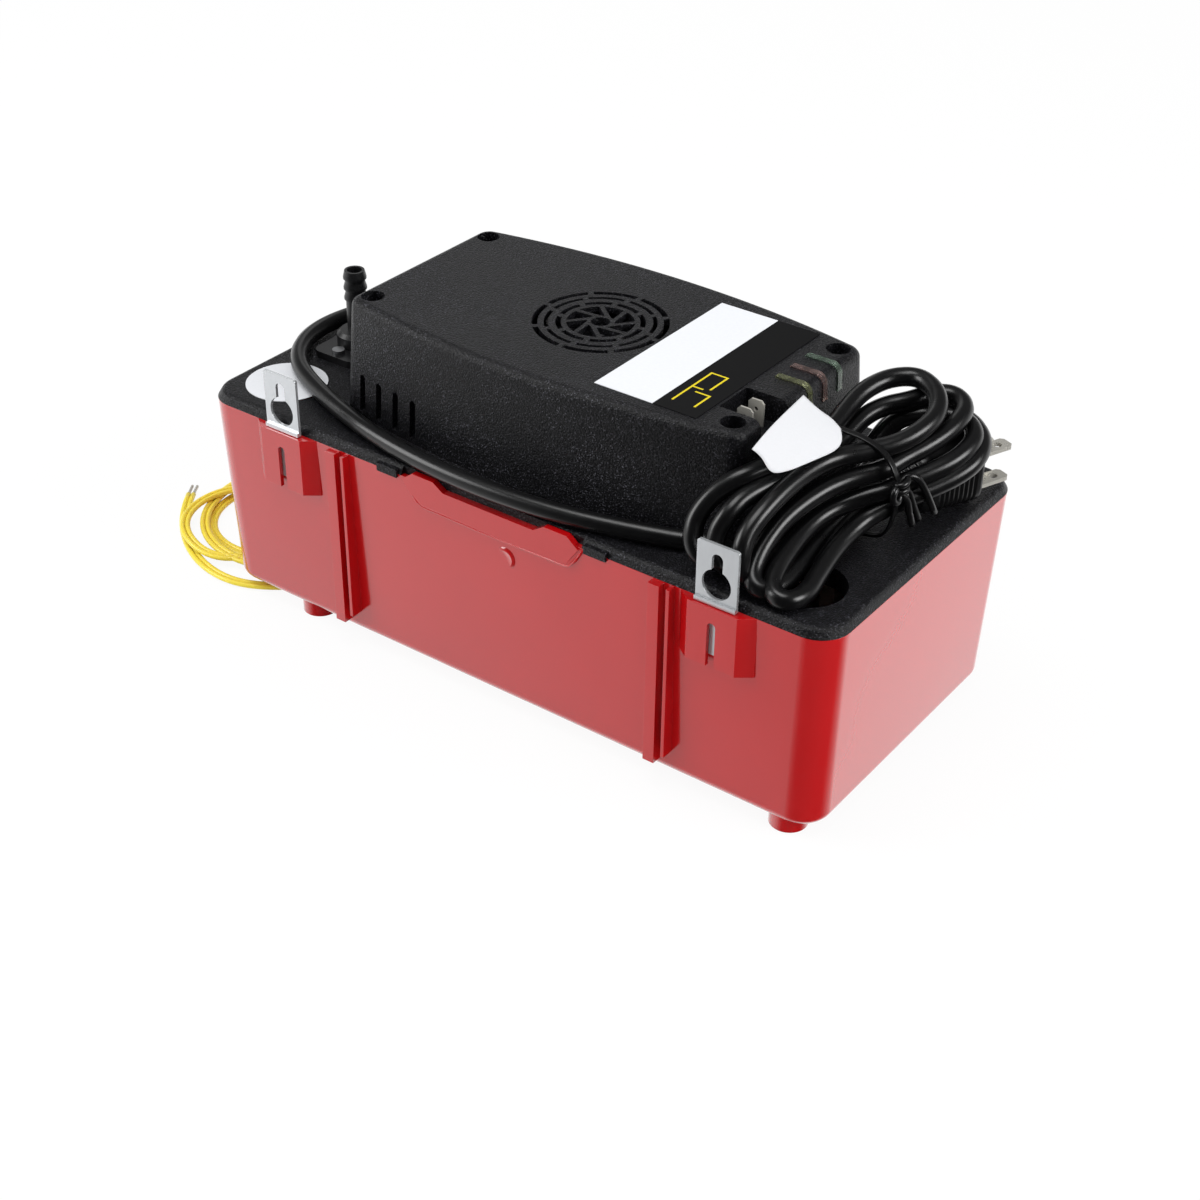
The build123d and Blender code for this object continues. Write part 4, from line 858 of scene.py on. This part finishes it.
@dataclass
class RimPanel:
    """Raised panel with clipped ends that stiffens the middle of the tank's rim."""

    outline: tuple[Span, ...] = (
        (-40.8, -1.0), (-33.4, -8.3), (-31.0, -9.4), (0.0, -9.9), (34.2, -9.6), (36.8, -8.8),
        (38.6, -6.8), (42.6, -0.4), (30.0, -0.3), (0.0, -0.3), (-30.0, -0.3),
    )
    steps: tuple[Span, ...] = ((0.0, -0.3), (0.15, 0.0), (0.5, 0.15), (1.1, 0.15))
    lean_mm: float = 0.9
    lean_depth: float = 9.0
    bead_radius: float = 0.42
    beaded_points: int = 8

    def on_wall(self, x: float, z: float, proud: float) -> Vector:
        """Gives the place of a panel point, which leans out towards its lower edge."""
        leaning = self.lean_mm * min(1.0, max(0.0, -z / self.lean_depth))
        return at(x, front_wall(z) - leaning - proud, z)

    def make(self) -> None:
        """Raises the panel on the wall in rows, each one further in than the last."""
        mesh = bmesh.new()
        flat = [Vector(point) for point in self.outline]
        count = len(flat)
        inward = []
        for i, point in enumerate(flat):
            before = (point - flat[i - 1]).normalized()
            after = (flat[(i + 1) % count] - point).normalized()
            along = (before + after).normalized()
            inward.append(Vector((-along.y, along.x)))
        rows = []
        for inset, proud in self.steps:
            row = []
            for point, way in zip(flat, inward):
                x, z = point + way * inset
                row.append(mesh.verts.new(self.on_wall(x, z, proud)))
            rows.append(row)
        stitch(mesh, rows)
        mesh.faces.new(rows[-1])
        bmesh.ops.recalc_face_normals(mesh, faces=mesh.faces)
        edge = [self.on_wall(x, z, 0.0) for x, z in self.outline[:self.beaded_points]]
        swept(mesh, edge, circle_outline(self.bead_radius * MM), [Vector((0, 1, 0))] * len(edge))
        new_piece("rim_panel", mesh, "tank_plastic")


# -------- power cord


@dataclass
class PowerCord:
    """Mains cord: its relief, the run along the deck, the tied hank and the plug."""

    radius: float = 3.5
    length: float = 1.4
    relief_x: Span = (-88.0, -111.0)
    relief_y: float = 27.0
    relief_z: float = 10.1
    relief_rings: int = 6
    relief_pitch: float = 3.0
    relief_taper: float = 0.27
    run: Route = (
        (-111, 27, 10.1), (-122, 27, 10.1), (-134, 16, 8.1), (-139, -2, 7.3), (-135, -20, 7.3),
        (-123.5, -34.5, 7.3), (-105, -44.5, 7.3), (-82, -53.5, 7.3), (-56, -60.8, 7.3),
        (-26, -65.2, 7.4), (4, -65.6, 7.4), (32, -62.4, 7.3), (54, -56.8, 7.3), (72, -51, 7.3),
        (83, -46, 7.3), (88.8, -46.3, 7.3), (91.4, -50.6, 7.4), (90.4, -56.2, 8),
        (86.8, -60.6, 10.4),
    )
    top_loop: Route = (
        (83, -60.6, 15.5), (81.4, -56.6, 22), (83.7, -51.4, 28.5), (88.4, -46, 34),
        (93.1, -40.4, 36.5),
        (96.4, -28.4, 37), (98.4, -12.2, 37), (99.4, 0.9, 37.5), (98.3, 11.8, 40),
        (98.7, 22.7, 43), (103, 33.5, 45), (112, 38.8, 46), (122.6, 32.7, 45.5),
        (128.3, 23.3, 43), (127.5, 11.9, 40.5), (123.1, 2.8, 38), (116.2, -5.3, 36.5),
        (108.6, -14.1, 35.5), (105.5, -26.7, 34.5), (104.3, -38.9, 32.5),
        (103.4, -49.6, 29), (102.2, -57.2, 24), (103, -61.2, 18.5),
    )
    under_front: Route = (
        (103.5, -62.5, 12), (104, -58, 7.6), (104.3, -45, 7.3), (104.3, -28, 7.3),
        (104.3, -12, 7.3), (104, 3, 9), (103.8, 15, 15), (105, 25, 24), (109, 32, 31.5),
        (118, 37.5, 33.8),
    )
    side_loop: Route = (
        (127, 41, 33.8), (133.4, 39.9, 33), (138.4, 33.6, 32.5), (139.3, 26.4, 31),
        (137.5, 18.4, 29), (133.4, 11, 27), (128.6, 4.1, 25), (125.4, -3.7, 23.5),
        (119.5, -8.6, 21.5), (114, -14.1, 19), (110.3, -22.5, 17), (109.5, -32.3, 15),
        (110.5, -43.2, 13), (111.9, -52.5, 10.8), (114.2, -59.2, 8.8), (118.8, -62.6, 7.7),
        (123.4, -60.4, 7.2), (124.6, -52.5, 7.2), (122.4, -43.5, 7.6), (120.8, -34.2, 9.2),
        (119.8, -23.8, 11), (120.8, -12.6, 13.5),
        (124.2, -5.7, 16.5), (129, 1.2, 19), (135.1, 10.8, 21.5), (139.6, 18.3, 24),
        (142.3, 25.4, 26.5), (141.8, 32.7, 28.5), (138, 40, 30),
    )
    under_back: Route = (
        (130, 46, 31), (120, 46.5, 32), (110, 43.5, 31), (102.5, 40.5, 25), (98.6, 36, 17),
        (97.4, 27, 10), (97.2, 10, 7.4), (97.2, -10, 7.3), (97.4, -30, 7.3), (97.8, -47, 7.4),
        (96.8, -57.5, 8.6), (93, -62, 14),
    )
    second_loop: Route = (
        (91.2, -58.5, 21), (93.2, -54.3, 27.5), (94.8, -47.1, 31), (98.1, -38.5, 32.3),
        (100.6, -28.2, 31.5), (100.7, -12, 30.5), (100.7, 1.3, 30.5), (101.1, 10.6, 32.5),
        (101.7, 19.8, 35), (105.3, 27.3, 37), (111.4, 32.4, 38.5), (115.2, 39.2, 39.3),
        (120.5, 43.9, 40), (126.4, 43.4, 39.8), (131, 38.6, 39), (132.4, 31.8, 38),
        (131.7, 23.9, 36),
        (129, 14, 34), (125.3, 6.9, 32), (122.6, -1.7, 30), (116, -8.8, 28.5),
        (110.8, -18.1, 27), (107.7, -29.2, 25), (105.5, -39.6, 22), (104.7, -48.1, 17.5),
        (105.2, -54.5, 13.8),
    )
    to_plug: Route = (
        (106.6, -59.4, 10.4), (110.2, -62, 8.2), (114, -60, 7.4), (115.4, -53, 7.3),
        (114.6, -43.5, 7.4), (112.3, -29.9, 7.8),
        (111.1, -17.9, 9.5), (112, -8, 12.5), (113.6, 0, 15.2), (116.4, 7.4, 15.9),
    )

    def route(self) -> list[Vector]:
        """Gives the control points from the strain relief to the plug."""
        parts = (self.run, self.top_loop, self.under_front, self.side_loop, self.under_back,
                 self.second_loop, self.to_plug)
        return [at(*point) for part in parts for point in part]

    def make_relief(self) -> Thing:
        """Makes the tapered relief, with the rings that let it flex.

        Returns:
            The piece.
        """
        root, tip = self.relief_x
        profile = [(root, 0.0), (root, 5.4), (root - 4.0, 5.4)]
        for ring in range(self.relief_rings):
            x = root - 4.2 - ring * self.relief_pitch
            r = 5.3 - ring * self.relief_taper
            profile += [(x, r), (x - 1.9, r - 0.12), (x - 2.0, r - 0.8), (x - 2.9, r - 0.85)]
        profile += [(tip + 0.4, 3.95), (tip, 3.8), (tip, 0.0)]
        mesh = bmesh.new()
        loops = [[mesh.verts.new(at(x, self.relief_y + a, self.relief_z + b))
                  for a, b in circle_outline(r, 28)] for x, r in profile]
        stitch(mesh, loops)
        bmesh.ops.remove_doubles(mesh, verts=mesh.verts, dist=1e-6)
        piece = new_piece("relief_sleeve", mesh, "cord_jacket")
        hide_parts("strain_relief")
        return piece

    def make(self) -> None:
        relief = self.make_relief()
        plug = PlugBody().make()
        cord = spline_object("power_cord", self.route(), self.radius * MM)
        dress(cord, "cord_jacket")
        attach(cord, HOUSING)
        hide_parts("cord_run", "cord_hank")
        tie = TwistTie().make()
        tag = PaperTag().make()
        LOG.info("made power_cord")


@dataclass
class PlugBody:
    """Moulded mains plug with ribbed grips and a ringed tail, which lies on the deck."""

    face: Point = (131.1, 44.6, 15.9)
    turn: float = -22.0
    half_width: float = 11.0
    half_height: float = 12.2
    body: float = 22.0
    tail: float = 18.0
    tail_radius: float = 4.2
    rib_pitch: float = 2.1
    rib_depth: float = 0.5
    corner_power: float = 5.0
    taper: float = 0.06
    grip_reach: float = 0.55
    points_round: int = 40

    def section(self, along: float) -> Point:
        """Gives half width, half height and corner power of the body at a distance back."""
        if along <= self.body:
            ease = 1 - self.taper * (along / self.body) ** 2
            return self.half_width * ease, self.half_height * ease, self.corner_power
        share = min(1.0, (along - self.body) / self.tail)
        smooth = share * share * (3 - 2 * share)
        left = (1 - self.taper) * (1 - smooth)
        wide = self.half_width * left + self.tail_radius * smooth
        high = self.half_height * left + self.tail_radius * smooth
        return wide, high, self.corner_power - (self.corner_power - 2) * smooth

    def make(self) -> Thing:
        """Builds the body as rings from the face back to the cord.

        Returns:
            The piece, in place of the CAD plug.
        """
        mesh = bmesh.new()
        spin = Matrix.Rotation(math.radians(self.turn), 3, "Z")
        origin = at(*self.face)
        stations = [0.0, 0.0, 0.9, 1.8]
        shrink = [0.0, 0.86, 0.97, 1.0]
        step = self.rib_pitch / 4
        while stations[-1] + step < self.body + self.tail:
            stations.append(stations[-1] + step)
            shrink.append(1.0)
        stations += [self.body + self.tail, self.body + self.tail]
        shrink += [1.0, 0.86]
        count = self.points_round
        loops = []
        for index, (along, scale) in enumerate(zip(stations, shrink)):
            wide, high, power = self.section(along)
            grip = 3.0 < along < self.body - 1.0
            tail = self.body + 5.0 < along < self.body + self.tail - 1.5
            groove = self.rib_depth if (grip or tail) and (index % 4) in (0, 1) else 0.0
            ring = []
            for i in range(count):
                a = 2 * math.pi * i / count
                c, s = math.cos(a), math.sin(a)
                x = math.copysign(abs(c) ** (2 / power), c)
                z = math.copysign(abs(s) ** (2 / power), s)
                cut = groove if tail or abs(c) > self.grip_reach else 0.0
                ring.append(mesh.verts.new(origin + spin @ Vector((
                    x * (wide * scale - cut) * MM, -along * MM,
                    z * (high * scale - (cut if tail else 0.0)) * MM))))
            loops.append(ring)
        stitch(mesh, loops)
        mesh.faces.new(list(reversed(loops[-1])))
        bmesh.ops.remove_doubles(mesh, verts=mesh.verts, dist=1e-7)
        piece = new_piece("plug_grip", mesh, "cord_jacket")
        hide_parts("plug_body")
        return piece


@dataclass
class TwistTie:
    """Plastic-coated wire tie round the waist of the hank."""

    half_thick: float = 0.65
    half_wide: float = 1.4
    tail_radius: float = 1.3
    knot: Point = (131, -5, 24.5)
    knot_size: Point = (1.9, 2.6, 6.0)
    knot_half_turns: float = 4.4
    knot_radius: float = 1.15
    knot_steps: int = 30
    ring: Route = (
        (130, -5, 24), (130, -4.6, 28.3), (128.8, -5.5, 32), (126.6, -5.2, 35.6),
        (122, -4.4, 39), (115.5, -4.8, 41.3), (109, -5, 41.8), (103, -5, 41.8),
        (96.5, -5, 41.4), (94.2, -5, 38), (94, -5, 28), (94, -5, 12), (95.5, -5, 4.5),
        (104, -5, 4), (117, -5, 4.2), (126, -5, 6), (129, -5.4, 13), (130, -5.6, 20),
        (130.2, -5.6, 25),
    )
    tails: tuple[Route, ...] = (
        ((129.6, -5.5, 26.5), (130.5, -2.5, 31), (134, 1, 30), (136.5, 4.5, 22.5),
         (138, 8.3, 13.8)),
        ((129.8, -5, 28.5), (132.8, -3.6, 27.5), (134.2, -1, 20), (135, 2.6, 12.8)),
        ((129.8, -7, 27.5), (133.4, -4.6, 24.5), (134.2, -3.4, 18), (134.6, -1.2, 12.2)),
        ((130, -4.5, 28.5), (131, -9.4, 29), (131, -11, 25), (132, -8, 22.5), (131, -4.5, 26)),
    )

    def make(self) -> Thing:
        """Sweeps the flat ring, its tails and the twisted knot.

        Returns:
            The piece, in place of the CAD tie.
        """
        mesh = bmesh.new()
        flat = [(a * self.half_wide * MM, b * self.half_thick * MM) for a, b in (
            (-1, -0.4), (-0.8, -0.8), (-0.3, -0.6), (0.3, -0.6), (0.8, -0.8), (1, -0.4),
            (1, 0.4), (0.8, 0.8), (0.3, 0.6), (-0.3, 0.6), (-0.8, 0.8), (-1, 0.4))]
        round_wire = circle_outline(self.tail_radius * MM, 8)
        for route in (self.ring, *self.tails):
            points = smooth_line([at(*p) for p in route])
            if route is self.ring:
                swept(mesh, points, flat, [Vector((0, 1, 0))] * len(points))
            else:
                swept(mesh, points, round_wire)
        twist = []
        x, y, z = self.knot
        wide, deep, high = self.knot_size
        for step in range(self.knot_steps + 1):
            a = step / self.knot_steps * self.knot_half_turns * math.pi
            twist.append(at(x + wide * math.cos(a), y + deep * math.sin(a),
                            z + high * step / self.knot_steps))
        swept(mesh, twist, circle_outline(self.knot_radius * MM, 8))
        piece = new_piece("wire_tie", mesh, "cord_jacket")
        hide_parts("twist_tie")
        return piece


@dataclass
class PaperTag:
    """Blank paper tag folded round the cord, so that it bows between its edges."""

    rows: tuple[Route, ...] = (
        ((89.9, -4.3, 49.4), (97.8, -6.9, 47.2), (102.2, -5.2, 45.0), (106.9, -7.1, 43.2)),
        ((91.3, -17.7, 49.3), (98.5, -17, 48.2), (105.5, -14, 45.2), (113.2, -15, 41.6)),
        ((92.7, -31.4, 48.8), (98.5, -30.5, 47.6), (104.5, -28, 45.2), (110.6, -26.3, 41.8)),
        ((94, -43.1, 47.0), (98.5, -42.5, 44.8), (104, -47.2, 41.8), (107.6, -37.4, 41.8)),
    )
    thickness: float = 0.35

    def make(self) -> Thing:
        """Lofts the sheet and gives it its thickness.

        Returns:
            The piece, in place of the CAD tag.
        """
        mesh = bmesh.new()
        grid = [[mesh.verts.new(at(*p)) for p in row] for row in self.rows]
        stitch(mesh, grid, closed=False)
        crease = mesh.edges.layers.float.new("crease_edge")
        for edge in mesh.edges:
            edge[crease] = 1.0 if edge.is_boundary else 0.0
        piece = new_piece("paper_tag", mesh, "tag_sheet")
        smooth = piece.modifiers.new("smooth", "SUBSURF")
        smooth.levels = smooth.render_levels = 3
        smooth.boundary_smooth = "PRESERVE_CORNERS"
        solid = piece.modifiers.new("sheet", "SOLIDIFY")
        solid.thickness = self.thickness * MM
        solid.offset = 0.0
        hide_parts("cord_tag")
        return piece


# -------- float lead


@dataclass(frozen=True)
class Turn:
    """One turn of the coiled lead on the floor."""

    x: float
    y: float
    radius: float
    level: float


@dataclass
class FloatLead:
    """Twin lead of the overflow switch: down the back, a loose coil and bare ends."""

    strand: float = 1.1
    length: float = 1.26
    floor: float = -87.5
    down: Route = (
        (-40, 54.8, 9.1), (-40, 66, 9.1), (-43, 76, -4.5), (-46, 74, -25.5), (-52, 75, -57.5),
        (-64, 79, -82), (-90, 83, -86.1), (-120, 77, -86.1), (-148, 61, -86.1),
        (-170, 39, -86.1),
    )
    turns: tuple[Turn, ...] = (
        Turn(-156, -8, 41, 1.4), Turn(-150, -12.5, 43.5, 3.75), Turn(-157.5, -17, 31.5, 1.4),
        Turn(-163, -31, 29, 3.75),
    )
    first_angle: float = 150.0
    last_angle: float = 345.0
    points_per_turn: int = 12
    drift_points: int = 4
    crossing_lift: float = 2.2
    away: Route = (
        (-130, -26, -83.6), (-122, -15, -83.7), (-112, -9, -84.2), (-103, -5, -86.1),
        (-96, -9, -86.1), (-97, -20, -86.1), (-104.5, -34, -86.1), (-110.5, -45, -86.1),
        (-121, -57, -86.1), (-138, -66.3, -86.1), (-158, -65, -86.1), (-178, -55.5, -86.1),
        (-196, -39.5, -85.4), (-203.5, -27.5, -85.15),
    )

    def coil(self) -> list[Point]:
        """Gives the turns' points, each turn drifting to the next one's place and size.

        Returns:
            Points in millimetres.
        """
        points = []
        step = 360.0 / self.points_per_turn
        for index, turn in enumerate(self.turns):
            following = self.turns[min(index + 1, len(self.turns) - 1)]
            last = index == len(self.turns) - 1
            span = self.last_angle - self.first_angle if last else 360.0
            for k in range(int(span / step)):
                share = max(0.0, (k - self.points_per_turn + self.drift_points)
                            / self.drift_points)
                x = turn.x + (following.x - turn.x) * share
                y = turn.y + (following.y - turn.y) * share
                radius = turn.radius + (following.radius - turn.radius) * share
                level = turn.level + (following.level - turn.level) * share
                angle = math.radians(self.first_angle + k * step)
                if last and k < int(span / step) - 2:
                    level += self.crossing_lift
                points.append((x + radius * math.cos(angle), y + radius * math.sin(angle),
                               self.floor + level))
        return points

    def make(self) -> None:
        path = smooth_line([at(*p) for p in (*self.down, *self.coil(), *self.away)])
        mesh = bmesh.new()
        for side in (-1, 1):
            swept(mesh, path, [(a + side * self.strand * MM, b)
                               for a, b in circle_outline(self.strand * MM)])
        piece = new_piece("twin_lead", mesh, "lead_yellow")
        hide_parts("lead_run", "lead_coil", "lead_tail")


# -------- putting it together


def main() -> None:
    """Builds the studio and dresses the pump in order."""
    logging.basicConfig(level=logging.INFO, format="%(message)s")
    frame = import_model()
    Studio().make()
    slots = {row["node"]: row["material_slot"] for row in frame["record"]["subparts"]}
    Mouldings(frame["nodes"]).make(slots)
    MouldMark().make()
    RimPanel().make()
    PowerCord().make()
    FloatLead().make()


if __name__ == "__main__":
    main()
